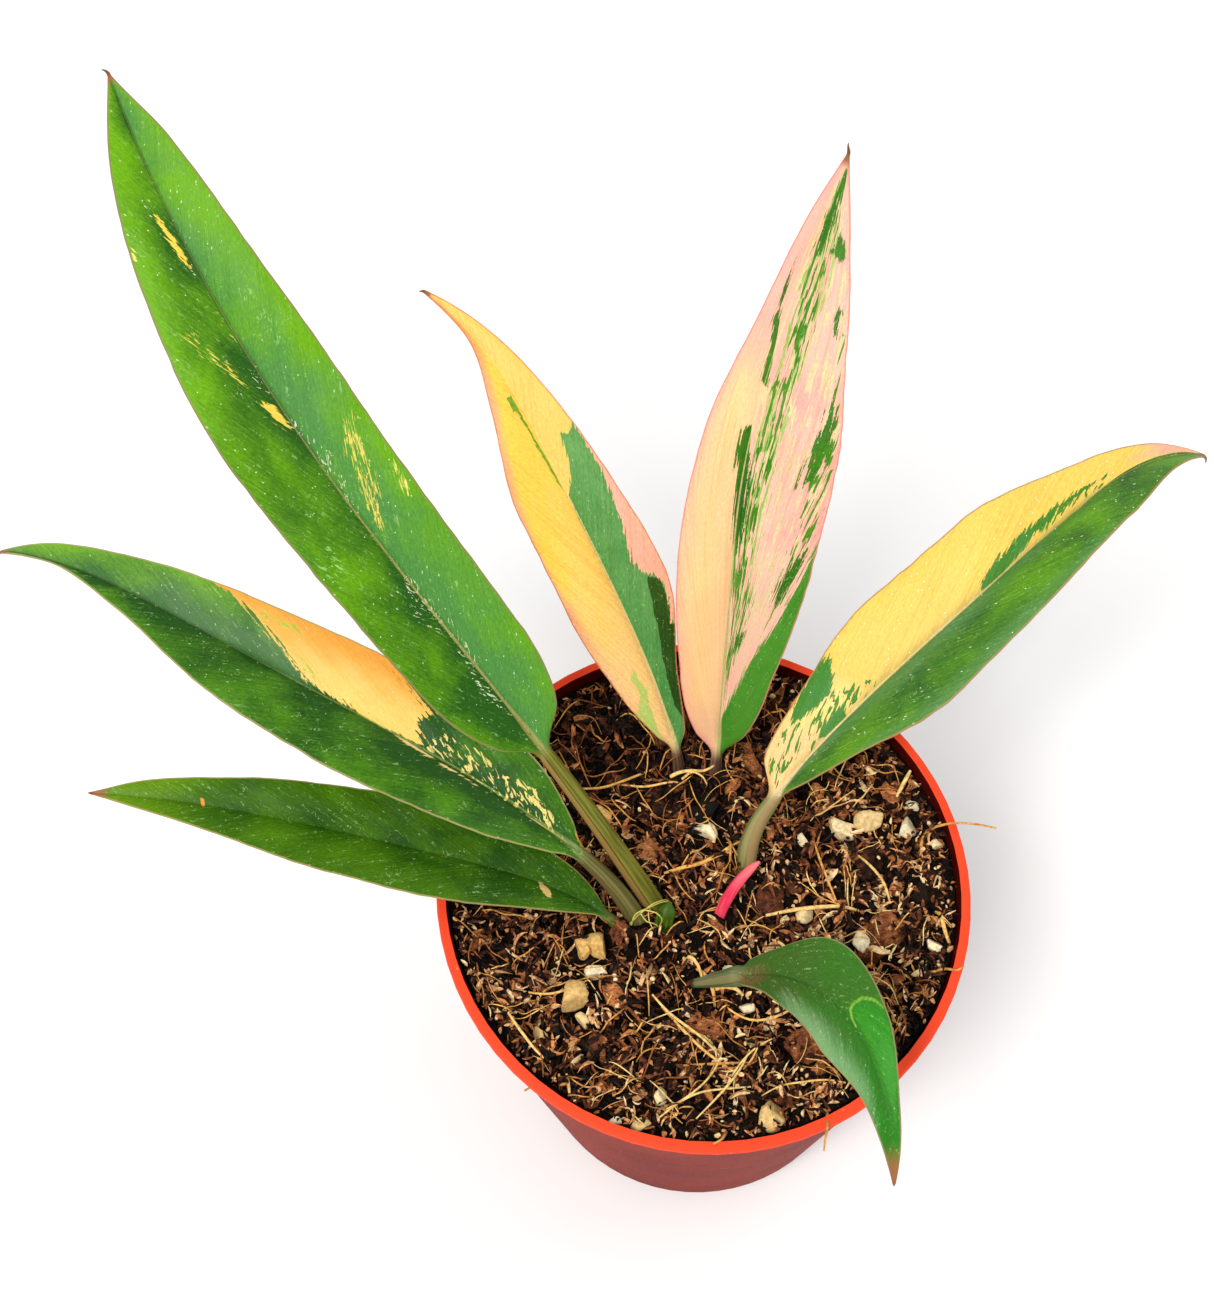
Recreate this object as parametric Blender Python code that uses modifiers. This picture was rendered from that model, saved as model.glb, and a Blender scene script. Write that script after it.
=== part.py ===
"""Potted philodendron with variegated leaves in a 12 cm plastic nursery pot.

Metres, +Z up. The origin is the middle of the pot's underside. +X is to the right and -Y is to the
front of the plant. The sizes below are written in millimetres and headings in degrees from +X.
"""

import math
import random

import bmesh
import bpy
import numpy as np
from mathutils import noise

MM = 0.001

# Pot: a thin tapered shell with a turned-down lip and a ring of drain holes.
POT_HEIGHT = 100.0
MID_HEIGHT = 50.0
RIM_RADIUS = 60.0
BASE_RADIUS = 41.4
WALL = 0.9
FLOOR = 1.4
LIP_WIDTH = 2.1
LIP_DEPTH = 2.7
LIP_ROUND = 0.6
BASE_ROUND = 2.2
CORNER_INSET = 0.3
ROUND_SEGMENTS = 64
DRAIN_HOLES = 8
DRAIN_RADIUS = 4.0
DRAIN_CIRCLE = 29.0
DRAIN_SEGMENTS = 16
# The soft wall is a little oval at the rim, and round at the base.
OVAL = 0.02
OVAL_HEADING = 101.0

# Soil: a plug that fills the pot, with chips and lumps raised on its top.
SOIL_LEVEL = 92.0
SOIL_RINGS = 17
SOIL_FOOT_INSET = 1.0
SOIL_ROUGHNESS = 1.3
SOIL_GRAIN = 9.0
# The soil banks up to the wall between these radii.
BANK_START = 36.0
BANK_END = 55.0
BANK_RISE = 4.0
CHIP_COUNT = 70
CHIP_SEED = 11
CHIP_LENGTHS = (2.0, 5.5)
CHIP_PROPORTIONS = (0.45, 0.9)
CHIP_RISES = (0.8, 2.4)
CHIP_RIM_MARGIN = 8.0
CHIP_FOOT_MARGIN = 5.0
GAP = 0.3
HOLE_CLEARANCE = 0.4
HOLE_TOP = 5.0
HOLE_RINGS = 8

# Stalks and blades.
SINK = 5.0
ROOT_PITCH = 80.0
ROOT_TAPER = 0.7
BLADE_THICKNESS = 0.8
TIP_HALF_WIDTH = 0.4
WIDTH_STATIONS = (0.0, 0.15, 0.35, 0.55, 0.75, 0.9, 1.0)
STALK_RINGS = 6
BLADE_RINGS = 24
BOW = 0.05
RIB_DEPTH = 0.75
RIB_SHARE = 0.3
WAVES = 3.5
WAVE_LAG = 1.3
STEM_RINGS = 12
STEM_SHOULDER = 0.6

# Each leaf: foot (x, y) on the soil; lengths of stalk and blade; stalk radius at foot and blade;
# pitch and heading at the foot, at the blade's base, a third and two thirds along it and at its tip;
# roll about the midrib; fold of each half; share of the blade that its rounded base takes;
# half widths, left and right of the midrib, at the width stations but the last.
LEAVES = {
    "leaf_upper_left": dict(
        foot=(-11.0, -1.5), stalk=47.0, blade=165.5, radii=(2.5, 1.7),
        pitch=(57, 48, 38, 33, 27), heading=(140, 140, 135, 124, 111),
        roll=(-15, -13), fold=12, base_round=0.08, wave=0.5,
        left=(5.0, 13.0, 14.5, 15.5, 12.0, 6.5), right=(7.0, 12.5, 13.5, 14.0, 11.5, 7.0),
        colour=(0.09, 0.26, 0.04),
    ),
    "leaf_left": dict(
        foot=(-14.5, -6.0), stalk=19.5, blade=156.5, radii=(2.3, 1.7),
        pitch=(54, 28, 16, 9, -31), heading=(129, 144, 154, 151, 151),
        roll=(-6, -8), fold=14, base_round=0.19, wave=0.5,
        left=(4.5, 11.0, 15.0, 13.0, 5.0, 0.5), right=(4.5, 11.5, 14.0, 12.5, 8.0, 4.0),
        colour=(0.10, 0.24, 0.05),
    ),
    "leaf_lower_left": dict(
        foot=(-18.5, -8.0), stalk=3.5, blade=117.0, radii=(1.5, 1.3),
        pitch=(52, 26, 16, 12, 2), heading=(118, 147, 170, 171, 175),
        roll=(-3, -4), fold=14, base_round=0.1, wave=0.4,
        left=(1.0, 7.0, 11.5, 11.0, 7.0, 3.5), right=(1.5, 7.0, 11.0, 10.0, 7.0, 4.0),
        colour=(0.05, 0.16, 0.03),
    ),
    "leaf_yellow": dict(
        foot=(-3.5, 29.5), stalk=7.0, blade=121.0, radii=(1.6, 1.2),
        pitch=(63, 56, 44, 37, 12), heading=(88, 108, 122, 123, 140),
        roll=(-12, -12), fold=15, base_round=0.05, wave=0.4,
        left=(1.0, 8.5, 12.5, 12.5, 6.5, 1.0), right=(2.5, 5.5, 12.5, 10.5, 6.5, 3.0),
        colour=(0.85, 0.62, 0.18),
    ),
    "leaf_pink": dict(
        foot=(4.5, 28.5), stalk=7.5, blade=140.0, radii=(1.6, 1.3),
        pitch=(70, 67, 58, 42, 33), heading=(77, 80, 82, 65, 60),
        roll=(2, 4), fold=7, base_round=0.11, wave=0.4,
        left=(4.5, 9.5, 12.0, 10.0, 5.5, 3.0), right=(5.5, 10.5, 17.0, 19.5, 14.0, 6.5),
        colour=(0.85, 0.55, 0.42),
    ),
    "leaf_right": dict(
        foot=(10.5, 8.0), stalk=16.0, blade=134.0, radii=(2.4, 1.7),
        pitch=(60, 38, 30, 12, -36), heading=(77, 42, 32, 37, 21),
        roll=(-3, -1), fold=16, base_round=0.07, wave=0.6,
        left=(6.0, 11.0, 15.5, 14.5, 8.0, 3.5), right=(0.5, 8.5, 16.0, 13.5, 10.5, 4.0),
        colour=(0.55, 0.48, 0.13),
    ),
    "leaf_front": dict(
        foot=(-2.0, -21.0), stalk=15.5, blade=70.5, radii=(1.1, 2.4),
        pitch=(50, 54, 34, -14, -52), heading=(-20, -25, -47, -73, -90),
        roll=(7, 5), fold=14, base_round=0.12, wave=0.3,
        left=(1.0, 5.5, 10.5, 7.0, 3.0, 1.5), right=(1.5, 4.5, 8.0, 9.0, 4.5, 2.0),
        colour=(0.04, 0.13, 0.03),
    ),
}

# Short stems: foot (x, y); length above the soil; pitch and heading at foot and tip; radii along it.
STEMS = {
    "crown_stub": dict(
        foot=(-8.7, -6.4), length=6.0, pitch=(75, 50), heading=(60, 60),
        radii=(2.0, 2.2, 2.1, 1.0), colour=(0.10, 0.16, 0.04),
    ),
    "pink_shoot": dict(
        foot=(3.9, -4.9), length=16.5, pitch=(62, 30), heading=(54, 26),
        radii=(1.3, 1.4, 1.35, 0.9), colour=(0.85, 0.14, 0.20),
    ),
}


def material(name, colour, roughness):
    """A plain Principled material."""
    made = bpy.data.materials.new(name)
    made.use_nodes = True
    shader = made.node_tree.nodes["Principled BSDF"]
    shader.inputs["Base Color"].default_value = (*colour, 1.0)
    shader.inputs["Roughness"].default_value = roughness
    shader.inputs["Metallic"].default_value = 0.0
    return made


def add_object(name, mesh, collection):
    """A new object of the mesh, in the collection."""
    made = bpy.data.objects.new(name, mesh)
    collection.objects.link(made)
    return made


def as_mesh(source, name, collection, weld=0.00001):
    """The evaluated shape of a curve or a modified mesh as a plain mesh object; the source is removed."""
    bpy.context.view_layer.update()
    graph = bpy.context.evaluated_depsgraph_get()
    mesh = bpy.data.meshes.new_from_object(source.evaluated_get(graph))
    work = bmesh.new()
    work.from_mesh(mesh)
    bmesh.ops.remove_doubles(work, verts=work.verts, dist=weld)
    bmesh.ops.recalc_face_normals(work, faces=work.faces)
    work.to_mesh(mesh)
    work.free()
    made = add_object(name, mesh, collection)
    made.matrix_world = source.matrix_world
    bpy.data.objects.remove(source)
    return made


def turned(name, profile, collection):
    """A solid turned about Z from a profile of (radius, height) in mm, outer side first, top to bottom."""
    mesh = bpy.data.meshes.new(name + "_profile")
    points = [(radius * MM, 0.0, height * MM) for radius, height in profile]
    links = [(i, i + 1) for i in range(len(points) - 1)]
    off_axis = [link for link in links if points[link[0]][0] > 0 or points[link[1]][0] > 0]
    mesh.from_pydata(points, off_axis, [])
    source = add_object(name + "_profile", mesh, collection)
    screw = source.modifiers.new("Screw", "SCREW")
    screw.steps = ROUND_SEGMENTS
    screw.render_steps = ROUND_SEGMENTS
    screw.use_merge_vertices = True
    screw.merge_threshold = 0.00001
    return as_mesh(source, name, collection)


def arc(centre, radius, start, end, steps):
    """Points on an arc of a profile, angles in degrees from +X."""
    angles = np.radians(np.linspace(start, end, steps + 1))
    return [(centre[0] + radius * math.cos(a), centre[1] + radius * math.sin(a)) for a in angles]


def oval_factor(x, y, height):
    """How far the oval wall stands out or in at this point, as a factor on the radius."""
    turn = math.atan2(y, x) - math.radians(OVAL_HEADING)
    return 1.0 + OVAL * (height / POT_HEIGHT) * math.cos(2 * turn)


def make_oval(obj):
    for vertex in obj.data.vertices:
        factor = oval_factor(vertex.co.x, vertex.co.y, vertex.co.z / MM)
        vertex.co.x *= factor
        vertex.co.y *= factor


def wall_radius(height):
    """Radius of the wall's outer face at a height."""
    top = RIM_RADIUS - LIP_WIDTH + WALL
    return BASE_RADIUS + (top - BASE_RADIUS) * height / POT_HEIGHT


def shade(obj, angle=40.0):
    obj.data.shade_smooth()
    obj.data.set_sharp_from_angle(angle=math.radians(angle))


def cutter_settings(obj):
    obj.hide_render = True
    obj.display_type = "WIRE"


def subtract(obj, cutter):
    boolean = obj.modifiers.new("Cut " + cutter.name, "BOOLEAN")
    boolean.operation = "DIFFERENCE"
    boolean.solver = "EXACT"
    boolean.object = cutter


def build_pot(parts, cutters):
    top = POT_HEIGHT
    lip_inner = RIM_RADIUS - LIP_WIDTH
    lip_bottom = top - LIP_DEPTH
    base = BASE_RADIUS
    profile = [(lip_inner, top)]
    profile += arc((RIM_RADIUS - LIP_ROUND, top - LIP_ROUND), LIP_ROUND, 90, 0, 2)
    profile += arc((RIM_RADIUS - LIP_ROUND, lip_bottom + LIP_ROUND), LIP_ROUND, 0, -90, 2)
    profile += [(wall_radius(lip_bottom), lip_bottom), (wall_radius(MID_HEIGHT), MID_HEIGHT)]
    profile += arc((base - BASE_ROUND, BASE_ROUND), BASE_ROUND, 0, -90, 2)
    profile += [(base * 0.5, 0.0), (0.0, 0.0), (0.0, FLOOR)]
    profile += arc((base - BASE_ROUND - CORNER_INSET, FLOOR + BASE_ROUND), BASE_ROUND, -90, -10, 2)
    profile += [(wall_radius(MID_HEIGHT) - WALL, MID_HEIGHT), (lip_inner, top)]
    pot = turned("pot", profile, parts)
    make_oval(pot)
    for index in range(DRAIN_HOLES):
        turn = math.tau * (index + 0.5) / DRAIN_HOLES
        bpy.ops.mesh.primitive_cylinder_add(
            vertices=DRAIN_SEGMENTS,
            radius=DRAIN_RADIUS * MM,
            depth=4 * FLOOR * MM,
            location=(DRAIN_CIRCLE * MM * math.cos(turn), DRAIN_CIRCLE * MM * math.sin(turn), 0),
        )
        cutter = bpy.context.object
        cutter.name = f"drain_{index + 1}"
        for owner in cutter.users_collection:
            owner.objects.unlink(cutter)
        cutters.objects.link(cutter)
        cutter_settings(cutter)
        subtract(pot, cutter)
    pot.data.materials.append(material("pot plastic", (0.55, 0.045, 0.02), 0.42))
    shade(pot)


def chips():
    """Lumps on the soil: (x, y, half length, half width, turn, height), drawn with a fixed seed."""
    draw = random.Random(CHIP_SEED)
    found = []
    feet = [spec["foot"] for spec in (*LEAVES.values(), *STEMS.values())]
    reach = RIM_RADIUS - LIP_WIDTH - CHIP_RIM_MARGIN
    while len(found) < CHIP_COUNT:
        radius = reach * math.sqrt(draw.random())
        turn = draw.uniform(0, math.tau)
        x, y = radius * math.cos(turn), radius * math.sin(turn)
        length = draw.uniform(*CHIP_LENGTHS)
        if min(math.dist((x, y), foot) for foot in feet) < length + CHIP_FOOT_MARGIN:
            continue
        width = length * draw.uniform(*CHIP_PROPORTIONS)
        turn = draw.uniform(0, math.pi)
        found.append((x, y, length, width, turn, draw.uniform(*CHIP_RISES)))
    return found


def soil_height(x, y, lumps):
    """Height of the soil's top at a point, from rolling noise, the bank and the lumps that stand out of it."""
    place = (x / SOIL_GRAIN, y / SOIL_GRAIN, 0.0)
    height = SOIL_LEVEL + SOIL_ROUGHNESS * noise.fractal(place, 1.0, 2.1, 3)
    bank = min(max((math.hypot(x, y) - BANK_START) / (BANK_END - BANK_START), 0.0), 1.0)
    height += BANK_RISE * bank * bank * (3 - 2 * bank)
    for cx, cy, length, width, turn, rise in lumps:
        along = (x - cx) * math.cos(turn) + (y - cy) * math.sin(turn)
        across = (y - cy) * math.cos(turn) - (x - cx) * math.sin(turn)
        spread = (along / length) ** 2 + (across / width) ** 2
        if spread < 1:
            height += rise * math.sqrt(1 - spread)
    return height


def build_soil(parts, cutters):
    inner = WALL + GAP
    edge_height = SOIL_LEVEL + BANK_RISE
    rim = wall_radius(edge_height) - inner
    bottom = FLOOR + GAP
    corner = bottom + BASE_ROUND
    profile = [(rim * i / SOIL_RINGS, SOIL_LEVEL) for i in range(SOIL_RINGS + 1)]
    profile += [(wall_radius(MID_HEIGHT) - inner, MID_HEIGHT)]
    profile += [(wall_radius(corner) - inner - CORNER_INSET, corner)]
    profile += [(BASE_RADIUS - BASE_ROUND - SOIL_FOOT_INSET, bottom), (0.0, bottom)]
    soil = turned("soil", profile, parts)
    lumps = chips()
    for vertex in soil.data.vertices:
        if vertex.co.z > (SOIL_LEVEL - SOIL_ROUGHNESS) * MM:
            height = soil_height(vertex.co.x / MM, vertex.co.y / MM, lumps)
            edge = math.hypot(vertex.co.x, vertex.co.y) / MM > rim * (1 - 0.5 / SOIL_RINGS)
            vertex.co.z = (edge_height if edge else height) * MM
    make_oval(soil)
    at = np.linspace(-SINK - GAP, HOLE_TOP, HOLE_RINGS)
    for name, leaf in LEAVES.items():
        path = centre_line(leaf, at)[0]
        radii = np.interp(at, (-SINK, 0, HOLE_TOP), stalk_radii(leaf, HOLE_TOP))
        hole = tube("hole_" + name, path, radii + HOLE_CLEARANCE, cutters)
        cutter_settings(hole)
        subtract(soil, hole)
    for name, stem in STEMS.items():
        path, radii = stem_path(stem)
        inside = path[:, 2] < SOIL_LEVEL + HOLE_TOP
        low_end = path[0] - (path[1] - path[0]) / np.linalg.norm(path[1] - path[0]) * GAP
        path = np.vstack([low_end, path[inside]])
        radii = np.concatenate([radii[:1], radii[inside]])
        hole = tube("hole_" + name, path, radii + HOLE_CLEARANCE, cutters)
        cutter_settings(hole)
        subtract(soil, hole)
    soil.data.materials.append(material("potting soil", (0.035, 0.018, 0.01), 0.9))
    shade(soil, 60.0)


def smooth_curve(stations, values, at):
    """Values at any places of a smooth curve through a few stations, which never overshoots them."""
    stations = np.asarray(stations, float)
    values = np.asarray(values, float)
    at = np.clip(at, stations[0], stations[-1])
    steps = np.diff(stations)
    slopes = np.diff(values) / steps
    before, after = slopes[:-1], slopes[1:]
    near, far = 2 * steps[1:] + steps[:-1], steps[1:] + 2 * steps[:-1]
    rising = before * after > 0
    mean = (near + far) * before * after / np.where(rising, near * after + far * before, 1.0)
    slopes = np.concatenate([slopes[:1], np.where(rising, mean, 0.0), slopes[-1:]])
    index = np.clip(np.searchsorted(stations, at, side="right") - 1, 0, len(steps) - 1)
    step = steps[index]
    u = (at - stations[index]) / step
    return (
        (2 * u**3 - 3 * u**2 + 1) * values[index]
        + (u**3 - 2 * u**2 + u) * step * slopes[index]
        + (3 * u**2 - 2 * u**3) * values[index + 1]
        + (u**3 - u**2) * step * slopes[index + 1]
    )


def directions(pitch, heading):
    """Unit vectors along, to the left of and up from a line of this pitch and heading in radians."""
    along = np.stack([np.cos(pitch) * np.cos(heading), np.cos(pitch) * np.sin(heading), np.sin(pitch)], -1)
    left = np.stack([-np.sin(heading), np.cos(heading), 0 * heading], -1)
    return along, left, np.cross(along, left)


def walk(foot, stations, pitches, headings, at):
    """Points and directions at distances along a line from its foot on the soil.

    Distances below zero lie in the soil, where the line turns down to the root's pitch.
    """
    fine = np.linspace(-SINK - 1.0, stations[-1], 500)
    pitch = smooth_curve(stations, pitches, fine)
    pitch += (ROOT_PITCH - pitches[0]) * np.clip(-fine / SINK, 0.0, 1.0)
    pitch = np.radians(pitch)
    heading = np.radians(smooth_curve(stations, headings, fine))
    along = directions(pitch, heading)[0]
    steps = (along[1:] + along[:-1]) / 2 * np.diff(fine)[:, None]
    line = np.vstack([np.zeros(3), np.cumsum(steps, axis=0)])
    start = np.array([np.interp(0.0, fine, line[:, axis]) for axis in range(3)])
    line += np.array([*foot, SOIL_LEVEL]) - start
    points = np.stack([np.interp(at, fine, line[:, axis]) for axis in range(3)], -1)
    return points, *directions(np.interp(at, fine, pitch), np.interp(at, fine, heading))


def centre_line(leaf, at):
    """The stalk and midrib of a leaf at distances from its foot; below the soil it turns down."""
    stalk, blade = leaf["stalk"], leaf["blade"]
    stations = (0.0, stalk, stalk + blade / 3, stalk + 2 * blade / 3, stalk + blade)
    return walk(leaf["foot"], stations, leaf["pitch"], leaf["heading"], at)


def stalk_radii(leaf, reach):
    """Radius at the sunk end, at the foot and at a distance up the stalk."""
    foot, blade = leaf["radii"]
    return (foot * ROOT_TAPER, foot, foot + (blade - foot) * reach / leaf["stalk"])


def half_width(leaf, side, t):
    """Half width of the blade on one side at a share of its length, with a rounded base."""
    width = smooth_curve(WIDTH_STATIONS, (*leaf[side], TIP_HALF_WIDTH), t)
    rounding = np.clip(t / leaf["base_round"], 0.0, 1.0)
    return np.maximum(width * np.sqrt(1 - (1 - rounding) ** 2), 0.2)


def leaf_mesh(name, leaf):
    """One closed loft: a round stalk that widens into a folded blade with a rib under its middle."""
    stalk, blade = leaf["stalk"], leaf["blade"]
    below = np.linspace(-SINK, stalk - 1.0, STALK_RINGS)
    shares = 0.5 * (1 - np.cos(np.linspace(0, math.pi, BLADE_RINGS)))
    at = np.concatenate([below, stalk + blade * shares])
    centres, _, left, up = centre_line(leaf, at)
    t = np.clip((at - stalk) / blade, 0, 1)
    roll = np.radians(leaf["roll"][0] + (leaf["roll"][1] - leaf["roll"][0]) * t)[:, None]
    left, up = np.cos(roll) * left + np.sin(roll) * up, np.cos(roll) * up - np.sin(roll) * left
    widths = {1: half_width(leaf, "left", t), -1: half_width(leaf, "right", t)}
    foot, top = leaf["radii"]
    stalk_radius = np.interp(at, (-SINK, 0, stalk, stalk + blade), (foot * ROOT_TAPER, foot, top, 0.4))
    flat = np.clip((at - stalk + 1.0) / (0.05 * blade + 1.0), 0, 1)
    flat = flat * flat * (3 - 2 * flat)
    fold = math.radians(leaf["fold"])
    rings = []
    for ring in range(len(at)):
        points = []
        places = []
        for side in (1, -1):
            width = widths[side][ring]
            inner = min(0.45, 1.1 * stalk_radius[ring] / width)
            shares_out = (1.0, (1 + inner) / 2 + 0.08, inner)
            places.append([(side, share, width) for share in shares_out])
        across = places[0] + [(1, 0.0, widths[1][ring])] + places[1][::-1]
        for face in (1, -1):
            row = across if face > 0 else across[::-1]
            for side, share, width in row:
                out = side * share * width * math.cos(fold)
                lift = share * width * math.sin(fold) + BOW * width * 4 * share * (1 - share)
                wave = leaf["wave"] * share**2 * math.sin(math.pi * t[ring])
                lift += wave * math.sin(math.tau * WAVES * t[ring] + WAVE_LAG * side)
                rise = lift + face * BLADE_THICKNESS / 2
                if face < 0:
                    rise -= RIB_DEPTH * stalk_radius[ring] * max(0.0, 1 - share / RIB_SHARE)
                points.append(out * left[ring] + rise * up[ring])
        count = len(points)
        turns = (np.arange(count) + 0.5) * math.tau / count
        for index, turn in enumerate(turns):
            circle = math.cos(turn) * left[ring] + math.sin(turn) * up[ring]
            blend = points[index] * flat[ring] + stalk_radius[ring] * circle * (1 - flat[ring])
            rings.append(centres[ring] + blend)
    vertices = list(np.array(rings) * MM)
    faces = []
    half = count // 2
    for ring in range(len(at) - 1):
        for index in range(count):
            a, b = ring * count + index, ring * count + (index + 1) % count
            c, d = b + count, a + count
            # Both faces of the blade are split along the same diagonal.
            faces += [(a, d, c), (a, c, b)] if index < half else [(a, d, b), (b, d, c)]
    for ring, order in ((0, 1), (len(at) - 1, -1)):
        hub = len(vertices)
        vertices.append(np.mean(vertices[ring * count : ring * count + count], axis=0))
        for index in range(count):
            a, b = ring * count + index, ring * count + (index + 1) % count
            faces.append((hub, a, b)[::order])
    mesh = bpy.data.meshes.new(name)
    mesh.from_pydata([tuple(vertex) for vertex in vertices], [], faces)
    work = bmesh.new()
    work.from_mesh(mesh)
    bmesh.ops.recalc_face_normals(work, faces=work.faces)
    work.to_mesh(mesh)
    work.free()
    return mesh


def build_leaf(name, leaf, parts):
    obj = add_object(name, leaf_mesh(name, leaf), parts)
    obj.data.materials.append(material(name.replace("_", " "), leaf["colour"], 0.4))
    shade(obj, 50.0)


def tube(name, path, radii, collection):
    """A round solid along a path in mm, with its own radius at each point."""
    curve = bpy.data.curves.new(name, "CURVE")
    curve.dimensions = "3D"
    curve.bevel_depth = MM
    curve.bevel_resolution = 3
    curve.use_fill_caps = True
    spline = curve.splines.new("POLY")
    spline.points.add(len(path) - 1)
    for point, place, radius in zip(spline.points, path, radii):
        point.co = (*(np.asarray(place) * MM), 1.0)
        point.radius = radius
    source = add_object(name + "_curve", curve, collection)
    return as_mesh(source, name, collection)


def stem_path(stem):
    """Points and radii of a short stem, from its sunk end to its tip."""
    at = np.linspace(-SINK, stem["length"], STEM_RINGS)
    path = walk(stem["foot"], (0.0, stem["length"]), stem["pitch"], stem["heading"], at)[0]
    places = (-SINK, 0.0, stem["length"] * STEM_SHOULDER, stem["length"])
    return path, np.interp(at, places, stem["radii"])


def build_stem(name, stem, parts):
    path, radii = stem_path(stem)
    obj = tube(name, path, radii, parts)
    obj.data.materials.append(material(name.replace("_", " "), stem["colour"], 0.45))
    shade(obj, 50.0)


def main():
    for old in list(bpy.data.objects):
        bpy.data.objects.remove(old)
    parts = bpy.data.collections.new("Potted philodendron")
    cutters = bpy.data.collections.new("Cutters")
    for collection in (parts, cutters):
        bpy.context.scene.collection.children.link(collection)
    build_pot(parts, cutters)
    build_soil(parts, cutters)
    for name, leaf in LEAVES.items():
        build_leaf(name, leaf, parts)
    for name, stem in STEMS.items():
        build_stem(name, stem, parts)


main()
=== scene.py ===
# Looks of the potted philodendron: fine variegated leaves, chunky soil with fibres and perlite, and the
# pot's plastic. The sizes are in millimetres, but those of the stage in metres. The angles are in degrees,
# and colours are written as the eye sees them, from 0 to 255.

import math
import random

import bmesh
import bpy
import numpy as np
from mathutils import Matrix, Vector, noise


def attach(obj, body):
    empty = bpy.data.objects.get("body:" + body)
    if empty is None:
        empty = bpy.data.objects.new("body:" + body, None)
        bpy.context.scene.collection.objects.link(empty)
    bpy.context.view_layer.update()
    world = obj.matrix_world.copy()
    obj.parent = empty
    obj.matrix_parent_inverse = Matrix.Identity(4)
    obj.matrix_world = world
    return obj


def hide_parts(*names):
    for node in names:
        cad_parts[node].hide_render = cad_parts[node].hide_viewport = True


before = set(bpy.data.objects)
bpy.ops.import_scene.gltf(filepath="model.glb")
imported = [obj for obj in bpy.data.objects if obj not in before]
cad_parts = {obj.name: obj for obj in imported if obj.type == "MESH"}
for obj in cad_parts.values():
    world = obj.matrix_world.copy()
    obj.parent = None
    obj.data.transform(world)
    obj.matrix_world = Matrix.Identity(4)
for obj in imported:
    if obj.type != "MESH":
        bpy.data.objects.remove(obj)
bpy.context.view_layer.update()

MM = 0.001
ROOT = "root"

# Pot and soil, as in the model.
POT_HEIGHT = 100.0
RIM_RADIUS = 60.0
BASE_RADIUS = 41.4
WALL = 0.9
LIP_WIDTH = 2.1
OVAL = 0.02
OVAL_HEADING = 101.0
SOIL_LEVEL = 92.0
SOIL_ROUGHNESS = 1.3
SOIL_GRAIN = 9.0
BANK_START = 36.0
BANK_END = 55.0
BANK_RISE = 4.0
SOIL_EDGE = SOIL_LEVEL + BANK_RISE
CHIP_COUNT = 70
CHIP_SEED = 11
CHIP_LENGTHS = (2.0, 5.5)
CHIP_PROPORTIONS = (0.45, 0.9)
CHIP_RISES = (0.8, 2.4)
CHIP_RIM_MARGIN = 8.0
CHIP_FOOT_MARGIN = 5.0
GAP = 0.3

# Stalks and blades, as in the model, but the front blade is up to 1.3 mm wider where it meets its stalk.
SINK = 5.0
ROOT_PITCH = 80.0
ROOT_TAPER = 0.7
TIP_HALF_WIDTH = 0.4
TIP_RADIUS = 0.4
WIDTH_STATIONS = (0.0, 0.15, 0.35, 0.55, 0.75, 0.9, 1.0)
BOW = 0.05
RIB_DEPTH = 0.75
RIB_SHARE = 0.3
WAVES = 3.5
WAVE_LAG = 1.3

# The fine mesh of a leaf.
RING_STEP = 0.5
STALK_STEP = 1.0
HALF_COLUMNS = 26
HALF_THICKNESS = 0.3
EDGE_THICKNESS = 0.14
GROOVE_DEPTH = 0.35
GROOVE_WIDTH = 0.7
VEIN_SLOPE = 0.42
FIELD_LIMIT = 6.0
RAY_SPREAD = 10.0
RAY_START = 0.06
# A mark's outline is measured on a blade of this half width, whatever the real one.
MARK_HALF = 12.0
# Waves of a side of the blade: length, height, and the step between the seeds of the two sides. The notches'
# height is a share of the width.
MARGIN_WAVES = (7.0, 0.6, 5)
SLOW_WAVES = (19.0, 0.9, 31)
MARGIN_NOTCHES = (3.5, 0.012, 77)
QUILT_LENGTH = 5.0
QUILT_HEIGHT = 0.07
MOTTLE = 0.12
SCRATCH_SHARE = 0.6

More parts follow.
